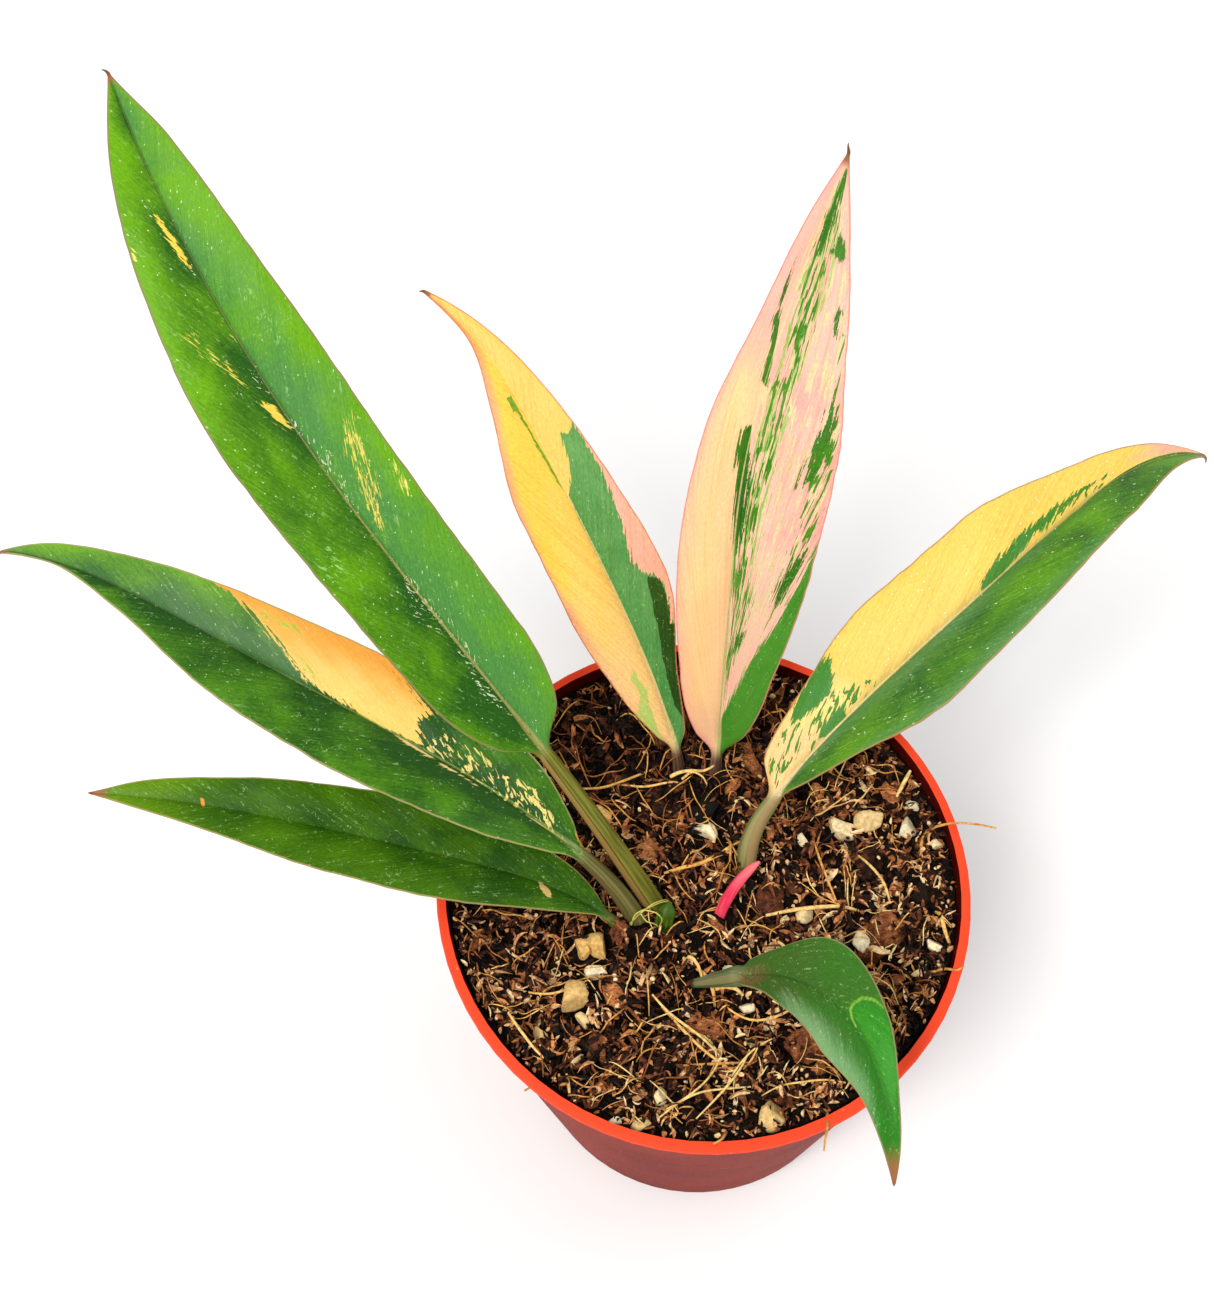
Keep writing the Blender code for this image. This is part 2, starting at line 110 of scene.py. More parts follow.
# Each leaf's foot on the soil, the lengths of its stalk and blade, and the stalk's radii at its two ends.
# Pitch and heading are those at the foot, the blade's base, one and two thirds along it and its tip, and the
# roll is that at the blade's two ends. "base_round" is the share of the blade over which its base rounds, and
# left and right are its half widths at WIDTH_STATIONS, without the tip's. The nib is a small end at the tip:
# its length, and how far it turns in pitch and heading.
LEAVES = {
    "leaf_upper_left": dict(
        foot=(-11.0, -1.5), stalk=47.0, blade=165.5, radii=(2.5, 1.7),
        pitch=(57, 48, 38, 33, 27), heading=(140, 140, 135, 124, 111),
        roll=(-15, -13), fold=12, base_round=0.08, wave=0.5,
        left=(5.0, 13.0, 14.5, 15.5, 12.0, 6.5), right=(7.0, 12.5, 13.5, 14.0, 11.5, 7.0),
        nib=(2.5, -40, 50),
    ),
    "leaf_left": dict(
        foot=(-14.5, -6.0), stalk=19.5, blade=156.5, radii=(2.3, 1.7),
        pitch=(54, 28, 16, 9, -31), heading=(129, 144, 154, 151, 151),
        roll=(-6, -8), fold=14, base_round=0.19, wave=0.5,
        left=(4.5, 11.0, 15.0, 13.0, 5.0, 0.5), right=(4.5, 11.5, 14.0, 12.5, 8.0, 4.0),
        nib=(2.5, -40, 70),
    ),
    "leaf_lower_left": dict(
        foot=(-18.5, -8.0), stalk=3.5, blade=117.0, radii=(1.5, 1.3),
        pitch=(52, 26, 16, 12, 2), heading=(118, 147, 170, 171, 175),
        roll=(-3, -4), fold=14, base_round=0.1, wave=0.4,
        left=(1.0, 7.0, 11.5, 11.0, 7.0, 3.5), right=(1.5, 7.0, 11.0, 10.0, 7.0, 4.0),
        nib=(1.2, 10, 0),
    ),
    "leaf_yellow": dict(
        foot=(-3.5, 29.5), stalk=7.0, blade=121.0, radii=(1.6, 1.2),
        pitch=(63, 56, 44, 37, 12), heading=(88, 108, 122, 123, 140),
        roll=(-12, -12), fold=15, base_round=0.05, wave=0.4,
        left=(1.0, 8.5, 12.5, 12.5, 6.5, 1.0), right=(2.5, 5.5, 12.5, 10.5, 6.5, 3.0),
        nib=(1.6, -40, 40),
    ),
    "leaf_pink": dict(
        foot=(4.5, 28.5), stalk=7.5, blade=140.0, radii=(1.6, 1.3),
        pitch=(70, 67, 58, 42, 33), heading=(77, 80, 82, 65, 60),
        roll=(2, 4), fold=7, base_round=0.11, wave=0.4,
        left=(4.5, 9.5, 12.0, 10.0, 5.5, 3.0), right=(5.5, 10.5, 17.0, 19.5, 14.0, 6.5),
        nib=(3.0, 70, 120),
    ),
    "leaf_right": dict(
        foot=(10.5, 8.0), stalk=16.0, blade=134.0, radii=(2.4, 1.7),
        pitch=(60, 38, 30, 12, -36), heading=(77, 42, 32, 37, 21),
        roll=(-3, -1), fold=16, base_round=0.07, wave=0.6,
        left=(6.0, 11.0, 15.5, 14.5, 8.0, 3.5), right=(0.5, 8.5, 16.0, 13.5, 10.5, 4.0),
        nib=(3.0, -60, -70),
    ),
    "leaf_front": dict(
        foot=(-2.0, -21.0), stalk=15.5, blade=70.5, radii=(1.1, 2.4),
        pitch=(50, 54, 34, -14, -52), heading=(-20, -25, -47, -73, -90),
        roll=(7, 5), fold=14, base_round=0.04, wave=0.3,
        left=(2.3, 5.5, 10.5, 7.0, 3.0, 1.5), right=(2.4, 4.7, 8.0, 9.0, 4.5, 2.0),
        nib=(1.0, 0, 0),
    ),
}

# The radii are those at the root, on the soil, at the shoulder and at the tip.
STEMS = {
    "crown_stub": dict(
        foot=(-8.7, -6.4), length=6.0, pitch=(75, 50), heading=(60, 60), radii=(2.0, 2.2, 2.1, 1.0),
        ridges=0.06, flatten=0.12,
    ),
    "pink_shoot": dict(
        foot=(3.9, -4.9), length=16.5, pitch=(62, 30), heading=(54, 26), radii=(1.3, 1.4, 1.35, 0.9),
        ridges=0.03, flatten=0.25,
    ),
}
FEET = [spec["foot"] for spec in (*LEAVES.values(), *STEMS.values())]

# Colours of the blades.
DEEP_GREEN = (30, 78, 12)
MID_GREEN = (62, 124, 18)
BRIGHT_GREEN = (99, 159, 3)
PALE_GREEN = (188, 200, 108)
GOLD = (236, 200, 72)
PEACH = (248, 194, 130)
ORANGE = (244, 166, 66)
CREAM = (248, 214, 142)
PINK = (242, 170, 150)
ROSE = (214, 126, 112)
TAN = (204, 170, 104)
PALE_TAN = (226, 200, 138)
BROWN = (118, 74, 44)
OLIVE = (132, 122, 72)
VEIN_GREEN = (150, 170, 90)
SCRATCH = (208, 214, 176)
SCRATCH_GREEN = (150, 190, 116)
DRY = (150, 98, 62)
DOT = (226, 232, 196)
BRIGHT_DOT = (244, 248, 230)
CREASE = (110, 130, 80)
SEAM = (120, 92, 60)
UNDERSIDE = (186, 190, 140)

# Colours of the pot. The body's reds are darkened as painted shade, the rim's red is lighter as
# painted light, and the inner red is darker as painted shade.
POT_DARK = (116, 26, 13)
POT_RED = (136, 37, 20)
LIT_RIM_RED = (238, 74, 44)
SHADED_INNER_RED = (70, 13, 7)
POT_DIRT = (120, 50, 36)
POT_DOT = (196, 140, 104)


def right_half(start):
    """Outline of the blade's right half from this percentage of its length on."""
    return [(start, -2), (110, -2), (110, -120), (start, -120)]


# The marks on each blade, painted in this order. An outline's points are in percent of the blade: how far
# along it, and how far across, from 100 at the left margin, through 0 at the midrib, to -100 at the right
# margin. A mark with a density is a zone of streaks, at "run" streaks a mm along and "cut" across, which
# "curl" bends. The others are solid, with ragged and soft edges.
# blend: share of the second colour at the base, and what it gains to the tip, to the margins and by noise.
UPPER_LEFT_MARKS = [
    # The grey-green near the midrib and base of this half is a painted sheen; BRIGHT_GREEN toward the margin
    # and tip is the blade's own colour.
    dict(colours=((74, 132, 58), BRIGHT_GREEN), blend=(-0.3, 0.6, 0.85, 0.9), ragged=0.0, soft=0.8,
         outlines=[right_half(-10)]),
    dict(colours=(SCRATCH, VEIN_GREEN), density=0.4, run=0.5, cut=1.5, curl=1.5, outlines=[
        [(6, 12), (12, 30), (20, 10), (25, 35), (30, 10), (50, 6), (60, 18), (66, 10), (75, 16), (80, 3),
         (55, -4), (48, -30), (36, -6), (22, -20), (8, -2)]]),
    dict(colours=(GOLD, CREAM), ragged=0.5, outlines=[
        [(52.5, 4), (55, 17), (57.5, 16), (56.2, 5)],
        [(75, 8), (76.5, 17), (80, 23), (82.5, 28), (82, 20), (79, 13), (77, 8)],
        [(78, 90), (78.5, 96), (80, 90)],
        [(38, -78), (38.5, -84), (40, -90), (39.5, -82)]]),
    dict(colours=((218, 196, 80), (196, 200, 100)), density=0.475, run=0.26, cut=2.2, curl=1.4, outlines=[
        [(59, 18), (60, 36), (63, 46), (66, 62), (69, 75), (68.5, 50), (64, 30), (62, 20)],
        [(35, -8), (37, -30), (42, -62), (50, -88), (52, -72), (46, -30), (38, -10)],
        [(37, -70), (40, -96), (44, -96), (40, -70)],
        [(64, 2), (74, 2), (76, 12), (66, 10)]]),
    dict(colours=((120, 176, 84), (150, 194, 104)), density=0.42, run=0.4, cut=1.2, curl=1.8, outlines=[
        [(33, 95), (34, 55), (40, 50), (39, 92)],
        [(60, -40), (62, -70), (72, -70), (70, -35)]]),
]
LEFT_MARKS = [
    dict(colours=((60, 106, 48), (108, 162, 36)), blend=(-0.6, 0.8, 0.8, 0.7), ragged=0.0, soft=0.8,
         outlines=[right_half(45)]),
    dict(colours=((250, 208, 108), (238, 158, 62)), blend=(-0.1, 0.0, 1.2, 0.5), ragged=0.9, outlines=[
        [(28, -4), (30, -30), (29.8, -45), (28.5, -58), (33, -70), (40, -120), (65, -120), (64.5, -95),
         (60, -80), (56, -62), (52, -40), (47, -8), (40, -2), (34, 0)],
        [(-10, -50), (2, -55), (3.5, -90), (3, -120), (-10, -120)]]),
    dict(colours=(MID_GREEN, DEEP_GREEN), density=0.45, run=0.3, curl=0.8, outlines=[
        [(28, 2), (34, -6), (48, -8), (50, -14), (47, -14), (40, -10), (30, -6)]]),
    dict(colours=((176, 190, 70), (150, 180, 60)), density=0.44, run=0.3, cut=1.2, curl=1.0, outlines=[
        [(42, -8), (48, -10), (53, -30), (50, -45), (45, -30)],
        [(47, -72), (56, -62), (60, -85), (52, -90)]]),
    dict(colours=((238, 210, 128), (206, 196, 92)), density=0.455, run=0.27, cut=0.75, curl=1.3, outlines=[
        [(3, -2), (6, 8), (14, 12), (20, 8), (29, -2), (26, -45), (20, -50), (17, -36), (12, -60), (8, -50),
         (5, -20)]]),
    dict(colours=(CREAM, (226, 200, 120)), ragged=0.3, outlines=[
        [(18, 12), (30, 6), (33, 1), (30, 1), (24, 7), (18, 9)],
        [(2, -2), (8, 8), (12, 8), (6, 0)]]),
]
LOWER_LEFT_MARKS = [
    dict(colours=((62, 104, 2), (94, 136, 4)), blend=(0.2, 0.5, 0.2, 0.6), ragged=1.0, soft=6.0, outlines=[
        [(82, 120), (86, 0), (82, -120), (110, -120), (110, 120)]]),
    dict(colours=(TAN, (226, 190, 120)), ragged=0.15, outlines=[
        [(12.5, 46), (13.5, 50), (15, 28), (15.8, 0), (15, -2), (13.2, 20)]]),
    dict(colours=((226, 140, 60), (236, 160, 80)), ragged=0.1, outlines=[
        [(79.7, 16), (80.1, 0), (80.5, -22), (79.8, -20), (79.4, 0)]]),
]
YELLOW_MARKS = [
    dict(colours=((250, 200, 108), (248, 188, 80)), blend=(0.0, 0.1, 0.5, 0.6), ragged=0.0, soft=0.6,
         outlines=[right_half(50)]),
    dict(colours=(ORANGE, (232, 150, 60)), blend=(0.0, 0.6, 0.2, 0.4), ragged=0.5, soft=8.0, outlines=[
        [(86, 120), (88, 10), (110, -20), (110, 120)]]),
    dict(colours=(PEACH, CREAM), blend=(0.0, 0.8, 0.0, 0.4), ragged=0.4, soft=5.0, outlines=[
        [(10, 120), (12, 60), (20, 50), (26, 80), (28, 120)]]),
    dict(colours=(PALE_GREEN, (170, 204, 86)), ragged=0.35, outlines=[
        [(-10, 120), (9, 120), (13, 70), (15, 50), (18.5, 54), (19.7, 38), (15, 30), (10, 45), (5, 70),
         (-10, 75)]]),
    dict(colours=((70, 134, 62), (112, 164, 92)), blend=(0.1, 0.4, 0.2, 0.8), ragged=0.4, outlines=[
        [(-10, 0), (30, 0), (50, 2), (54.5, 0), (56.3, -14), (60, -36), (65.6, -55), (64.7, -74),
         (66.4, -98), (66, -120), (-10, -120)]]),
    dict(colours=((34, 68, 12), (54, 92, 22)), ragged=0.25, outlines=[
        [(10, -56), (20, -53), (30, -55), (35.2, -60), (34.5, -76), (33.5, -85), (25, -90), (25, -120),
         (5, -120)]]),
    dict(colours=(PINK, (246, 178, 140)), ragged=0.6, outlines=[
        [(39, -51), (43, -59), (50, -77), (59, -92), (65.5, -98), (65, -120), (25, -120), (25.3, -89),
         (30.5, -87), (34, -83), (34.8, -74), (36.4, -59)]]),
    dict(colours=((104, 150, 36), (140, 176, 60)), ragged=0.25, outlines=[
        [(54, 2), (60, 9), (68, 15), (72.5, 22), (72.5, 32), (75.5, 32), (75.5, 12), (72, 12), (62, 4)]]),
]
PINK_MARKS = [
    dict(colours=((247, 204, 134), (244, 190, 126)), blend=(0.1, 0.1, 0.2, 0.9), ragged=1.0, soft=7.0,
         outlines=[
             [(8, 80), (12, 30), (30, 15), (60, 30), (72, 60), (55, 75), (30, 85)]]),
    dict(colours=((243, 184, 160), (238, 164, 150)), blend=(0.3, 0.3, 0.2, 0.9), ragged=1.0, soft=6.0,
         outlines=[
             [(74, 120), (68, 50), (74, 10), (76, -10), (110, -10), (110, 120)]]),
    dict(colours=((243, 186, 162), (236, 160, 148)), blend=(0.3, 0.1, 0.0, 1.2), ragged=0.0, soft=0.6,
         outlines=[right_half(-10)]),
    dict(colours=((208, 196, 140), (230, 200, 156)), density=0.46, run=0.11, cut=1.3, curl=0.25, outlines=[
        [(6, -2), (30, 0), (45, 3), (60, 10), (75, 30), (90, 30), (99, 20), (100, -80), (86, -95),
         (75, -100), (50, -100), (30, -80), (12, -30)]]),
    dict(colours=((150, 176, 88), (186, 192, 116)), density=0.48, run=0.12, cut=1.6, curl=0.3, outlines=[
        [(20, -6), (40, -4), (60, -4), (80, 0), (95, 0), (99, -70), (85, -70), (70, -50), (50, -40),
         (30, -35), (20, -25)]]),
    dict(colours=(MID_GREEN, (88, 138, 34)), density=0.49, run=0.14, cut=1.6, curl=0.3, outlines=[
        [(10, 0), (30, -2), (45, 2), (60, -5), (75, -12), (82, 0), (94, 0), (99, -20), (97, -70), (85, -60),
         (75, -50), (60, -42), (45, -30), (30, -20), (20, -14)],
        [(22, -50), (35, -62), (50, -70), (72, -85), (80, -98), (45, -100), (30, -80)]]),
    dict(colours=(MID_GREEN, (132, 170, 84)), density=0.5, run=0.1, cut=1.7, outlines=[
        [(3, -2), (10, -10), (20, -28), (30, -36), (38, -20), (38, 2), (10, 2)]]),
    dict(colours=(DEEP_GREEN, MID_GREEN), blend=(0.5, 0.1, 0.1, 0.9), ragged=0.9, outlines=[
        [(37, 0), (44, 6), (50, 11), (54.5, 22), (57, 22), (58.5, 2), (50, -8), (43, -10), (38, -6)],
        [(64, -6), (65, 10), (70, 17), (74.5, 44), (76, 30), (73, 10), (68, -2)],
        [(76, 40), (79, 52), (84, 50), (81, 42), (78, 36)],
        [(50, -66), (56, -69), (66, -86), (62, -92), (56, -88), (52, -78)],
        [(29, -58), (33, -60), (38, -76), (40, -88), (36, -82), (31, -68)],
        [(20, -8), (23.5, -15), (24.8, -28), (22.5, -26)],
        [(84, -15), (90, -14), (97, -30), (92, -36), (85, -28)],
        [(86, -50), (88, -62), (89.5, -80), (86, -88), (85, -70)],
        [(90, -30), (98, -35), (98, -70), (93, -50)],
        [(74, -78), (78, -80), (79, -88), (75, -86)]]),
    dict(colours=((58, 128, 30), (84, 148, 44)), blend=(0.3, 0.1, 0.2, 0.9), ragged=0.6, outlines=[
        [(-10, 2), (5, 2), (9, -8), (14, -30), (20, -48), (23.5, -60), (27, -75), (31, -80), (37, -93),
         (44, -100), (44, -120), (-10, -120)],
        [(3, 3), (20, 2), (40, 1), (40, -3), (20, -2), (6, -2)]]),
]
RIGHT_MARKS = [
    dict(colours=((245, 190, 84), (248, 203, 94)), blend=(0.2, 0.6, 0.0, 0.9), ragged=0.5, soft=5.0,
         outlines=[
             [(20, 120), (24, -10), (80, -10), (90, 40), (84, 120)]]),
    dict(colours=(PEACH, PINK), blend=(0.2, 0.5, 0.0, 0.6), ragged=0.6, soft=4.0, outlines=[
        [(86, 120), (88, 60), (84, 35), (90, 10), (110, 10), (110, 120)]]),
    dict(colours=(PEACH, CREAM), blend=(0.2, 0.5, 0.0, 0.6), ragged=0.6, soft=4.0, outlines=[
        [(-10, 120), (-10, 0), (16, 0), (13, 50), (12, 120)]]),
    dict(colours=(MID_GREEN, (96, 152, 46)), density=0.5, run=0.25, cut=1.1, curl=0.4, outlines=[
        [(2, 15), (3, 80), (10, 85), (14, 60), (10, 15)],
        [(10, 2), (14, 50), (22, 50), (28, 10), (26, 0)],
        [(56, 2), (62, 26), (70, 34), (76, 30), (77, 0), (66, 0)]]),
    dict(colours=((60, 126, 44), MID_GREEN), blend=(0.3, 0.1, 0.1, 0.9), ragged=0.6, outlines=[
        [(11, 70), (14, 96), (20, 100), (24.5, 92), (22.5, 66), (20, 50), (17, 52), (14, 62)],
        [(13, 6), (15, 22), (19, 24), (21, 18), (19, 0), (16, 2)],
        [(49, 0), (50, 10), (53, 18), (58, 24), (64, 27), (72, 28), (78, 24), (70, 18), (64, 14), (60, 7),
         (54, 0)]]),
    dict(colours=((44, 92, 34), (98, 156, 18)), blend=(0.15, 0.25, 0.2, 0.9), ragged=0.2, outlines=[
        [(-10, -4), (60, -2), (70, -6), (75, 0), (82, 8), (90, 15), (95, 25), (110, 30), (110, -120),
         (-10, -120)]]),
    dict(colours=((92, 140, 78), (70, 120, 52)), blend=(0.0, 0.8, 0.0, 1.4), ragged=0.6, soft=2.5,
         outlines=[
             [(-10, 0), (40, 0), (75, -2), (70, -12), (40, -20), (-10, -30)],
        [(10, -120), (20, -90), (50, -82), (70, -90), (80, -120)]]),
]
FRONT_MARKS = [
    dict(colours=((108, 92, 54), (86, 104, 48)), ragged=0.8, soft=3.0, outlines=[
        [(-10, 50), (10, 30), (16, -20), (10, -120), (-10, -120)]]),
    dict(colours=((44, 128, 30), (66, 146, 40)), ragged=0.4, soft=1.5, outlines=[
        [(50, 10), (49, 30), (50, 55), (53, 90), (70, 95), (82, 50), (70, 10)]]),
    dict(colours=((116, 168, 56), (140, 182, 72)), ragged=0.0, soft=0.15, outlines=[
        [(54, 94), (51.2, 80), (49, 55), (48.3, 30), (49, 12), (51.2, 2), (54.5, -2), (54.6, 2), (51.8, 6),
         (49.8, 15), (49.2, 30), (49.9, 53), (52.1, 77), (54.8, 92)]]),
    # A painted sheen: pale grey-green along the right margin, over the middle of the blade.
    dict(colours=((128, 160, 116), (90, 148, 74)), blend=(0.2, 0.2, 0.0, 0.8), ragged=0.8, soft=4.0,
         outlines=[
             [(30, -70), (50, -60), (70, -50), (80, -80), (70, -120), (40, -120)]]),
]

# The rest of each blade's look, laid under and over its marks.
# stalk: its dark and light strands, and a strip whose place round the stalk is "strip".
# rib: the midrib's colour, and how strong it is near the base and beyond the reach.
# rays: the streaks spread like rays from the blade's base, and don't follow the veins.
LOOKS = {
    "leaf_upper_left": dict(
        stalk=((90, 92, 28), (128, 126, 50), (150, 116, 64)), strip=0.55, seam=0.7, vein=VEIN_GREEN,
        margin=OLIVE, tip_brown=1.5, margin_width=0.6, gloss=0.12, specks=0.75,
        colours=((36, 86, 16), BRIGHT_GREEN), blend=(-0.22, 0.65, 0.7, 0.8),
        rib=((164, 154, 90), 0.8, 0.25), rib_reach=0.5, marks=UPPER_LEFT_MARKS,
    ),
    "leaf_left": dict(
        stalk=((84, 82, 38), (116, 108, 58), (100, 82, 48)), strip=0.3, vein=VEIN_GREEN,
        margin=(164, 150, 98), tip_brown=3.0, colours=(DEEP_GREEN, (88, 148, 14)),
        blend=(-0.1, 0.05, 0.6, 0.9), rib=(VEIN_GREEN, 0.5, 0.1), rib_reach=0.4, specks=0.6,
        margin_width=0.5, marks=LEFT_MARKS,
    ),
    "leaf_lower_left": dict(
        stalk=((66, 78, 20), (92, 100, 36), (96, 80, 40)), vein=VEIN_GREEN, margin=(160, 140, 84),
        tip_brown=3.2, colours=((30, 72, 2), (84, 132, 4)), blend=(0.0, 0.4, 0.25, 0.7),
        rib=((74, 104, 44), 0.3, 0.0), rib_reach=0.3, crease=0.1, specks=0.35, gloss=0.12,
        marks=LOWER_LEFT_MARKS,
    ),
    "leaf_yellow": dict(
        stalk=((74, 52, 40), (116, 86, 66), (70, 46, 36)), vein=(236, 170, 90), veins=0.17, crease=0.0,
        colours=((248, 204, 138), (251, 201, 78)), blend=(-0.05, 1.8, 0.1, 0.4), rib=(PALE_TAN, 0.8, 0.3),
        rib_reach=0.6, margin=(200, 120, 88), tip_brown=2.0, edge_tint=((236, 160, 120), 1.8), specks=0.5,
        gloss=0.12, marks=YELLOW_MARKS,
    ),
    "leaf_pink": dict(
        stalk=((84, 58, 48), (132, 100, 82), (70, 46, 40)), vein=(232, 168, 110), veins=0.22, crease=0.0,
        rays=True, colours=((245, 200, 144), (241, 174, 152)), blend=(0.35, 0.0, 0.4, 0.5),
        rib=(PALE_TAN, 0.6, 0.3), rib_reach=0.5, margin=ROSE, tip_brown=2.5, edge_tint=(PINK, 1.6),
        specks=0.4, gloss=0.12, marks=PINK_MARKS,
    ),
    "leaf_right": dict(
        stalk=((112, 118, 62), (150, 142, 92), (158, 128, 84)), vein=(236, 180, 90), veins=0.16, crease=0.2,
        colours=(CREAM, (250, 210, 100)), blend=(0.3, 0.9, 0.3, 0.5), rib=((226, 200, 154), 0.85, 0.3),
        rib_reach=0.4, margin=(164, 128, 76), tip_brown=2.0, edge_tint=(PEACH, 1.2), rib_width=0.26,
        margin_width=0.5, marks=RIGHT_MARKS,
    ),
    "leaf_front": dict(
        stalk=((84, 100, 60), (112, 124, 84), (140, 130, 88)), vein=(160, 180, 110), veins=0.02, specks=0.4,
        colours=((66, 96, 36), (44, 118, 30)), blend=(0.0, 1.0, 0.0, 0.6), rib=((60, 110, 40), 0.2, 0.0),
        rib_reach=0.3, margin=(140, 136, 92), tip_brown=7.0, relief=0.4, crease=0.0, gloss=0.08,
        marks=FRONT_MARKS,
    ),
}


def visible(colour):
    """A colour as the eye sees it, 0 to 255, as the light values that a shader takes."""
    shares = [value / 255 for value in colour]
    linear = [s / 12.92 if s <= 0.04045 else ((s + 0.055) / 1.055) ** 2.4 for s in shares]
    return (*linear, 1.0)


# Shader building.


class Shader:
    """A new material with a Principled shader, and short ways to add the nodes that feed it."""

    def __init__(self, name):
        self.material = bpy.data.materials.new(name)
        self.material.use_nodes = True
        self.tree = self.material.node_tree
        self.principled = self.tree.nodes["Principled BSDF"]

    def put(self, socket, value):
        if isinstance(value, bpy.types.NodeSocket):
            self.tree.links.new(value, socket)
        elif value is not None:
            socket.default_value = value

    def set(self, name, value):
        self.put(self.principled.inputs[name], value)

    def node(self, kind, **inputs):
        """A node of this kind, with the inputs whose names are given."""
        node = self.tree.nodes.new("ShaderNode" + kind)
        for name, value in inputs.items():
            self.put(node.inputs[name], value)
        return node

    def attribute(self, name):
        node = self.node("Attribute")
        node.attribute_name = name
        return node.outputs["Fac"]

    def place(self):
        """Position on the object, in mm."""
        scale = self.node("VectorMath")
        scale.operation = "SCALE"
        self.put(scale.inputs[0], self.node("TexCoord").outputs["Object"])
        scale.inputs["Scale"].default_value = 1 / MM
        return scale.outputs[0]

    def math(self, operation, a, b=None, clamp=False):
        node = self.node("Math")
        node.operation = operation
        node.use_clamp = clamp
        self.put(node.inputs[0], a)
        self.put(node.inputs[1], b)
        return node.outputs[0]

    def add(self, a, b):
        return self.math("ADD", a, b)

    def times(self, a, b):
        return self.math("MULTIPLY", a, b)

    def swing(self, value, amount):
        """A value that swings about a half, made to swing about zero by this amount."""
        return self.times(self.add(value, -0.5), amount)

    def vector(self, x, y, z=0.0):
        return self.node("CombineXYZ", X=x, Y=y, Z=z).outputs[0]

    def split(self, vector):
        return self.node("SeparateXYZ", Vector=vector).outputs

    def noise(self, vector, scale=1.0, detail=3.0, roughness=0.55, distortion=0.0):
        settings = dict(Scale=scale, Detail=detail, Roughness=roughness, Distortion=distortion)
        return self.node("TexNoise", Vector=vector, **settings).outputs[0]

    def cells(self, vector, scale=1.0):
        """Distance to the nearest of scattered points, and a random share for each point."""
        node = self.node("TexVoronoi", Vector=vector, Scale=scale)
        return node.outputs["Distance"], self.node("SeparateColor", Color=node.outputs["Color"]).outputs[0]

    def ramp(self, value, low, high, start=0.0, end=1.0):
        node = self.node("MapRange", **{"Value": value, "From Min": low, "From Max": high})
        node.interpolation_type = "SMOOTHSTEP"
        node.inputs["To Min"].default_value = start
        node.inputs["To Max"].default_value = end
        return node.outputs[0]

    def specks(self, vector, scale, reach, core, rare, share):
        """Round dots about the scattered points whose random share is over a limit."""
        near, chance = self.cells(vector, scale)
        dots = self.times(self.ramp(near, reach, core), self.ramp(chance, rare, rare + 0.03))
        return self.times(dots, share)

    def mix(self, share, a, b, blend="MIX"):
        node = self.node("Mix")
        node.data_type = "RGBA"
        node.blend_type = blend
        for index, value in ((0, share), (6, a), (7, b)):
            self.put(node.inputs[index], value)
        return node.outputs[2]

    def paint(self, colour, share, over, blend="MIX"):
        """The colour with a share of another one, written from 0 to 255, laid over it."""
        return self.mix(share, colour, visible(over), blend)

    def shade(self, colour, level):
        """The colour made darker or brighter by a level."""
        return self.mix(1.0, colour, self.vector(level, level, level), "MULTIPLY")

    def finish(self, colour, grain, rough, shine, height, strength, depth):
        """The material with this colour and shine, a roughness that follows the grain, and bumps in mm."""
        self.set("Base Color", colour)
        self.set("Roughness", self.ramp(grain, 0.2, 0.8, *rough))
        self.set("Specular IOR Level", shine)
        bump = self.node("Bump", Strength=strength, Distance=depth * MM, Height=height)
        self.set("Normal", bump.outputs[0])
        return self.material


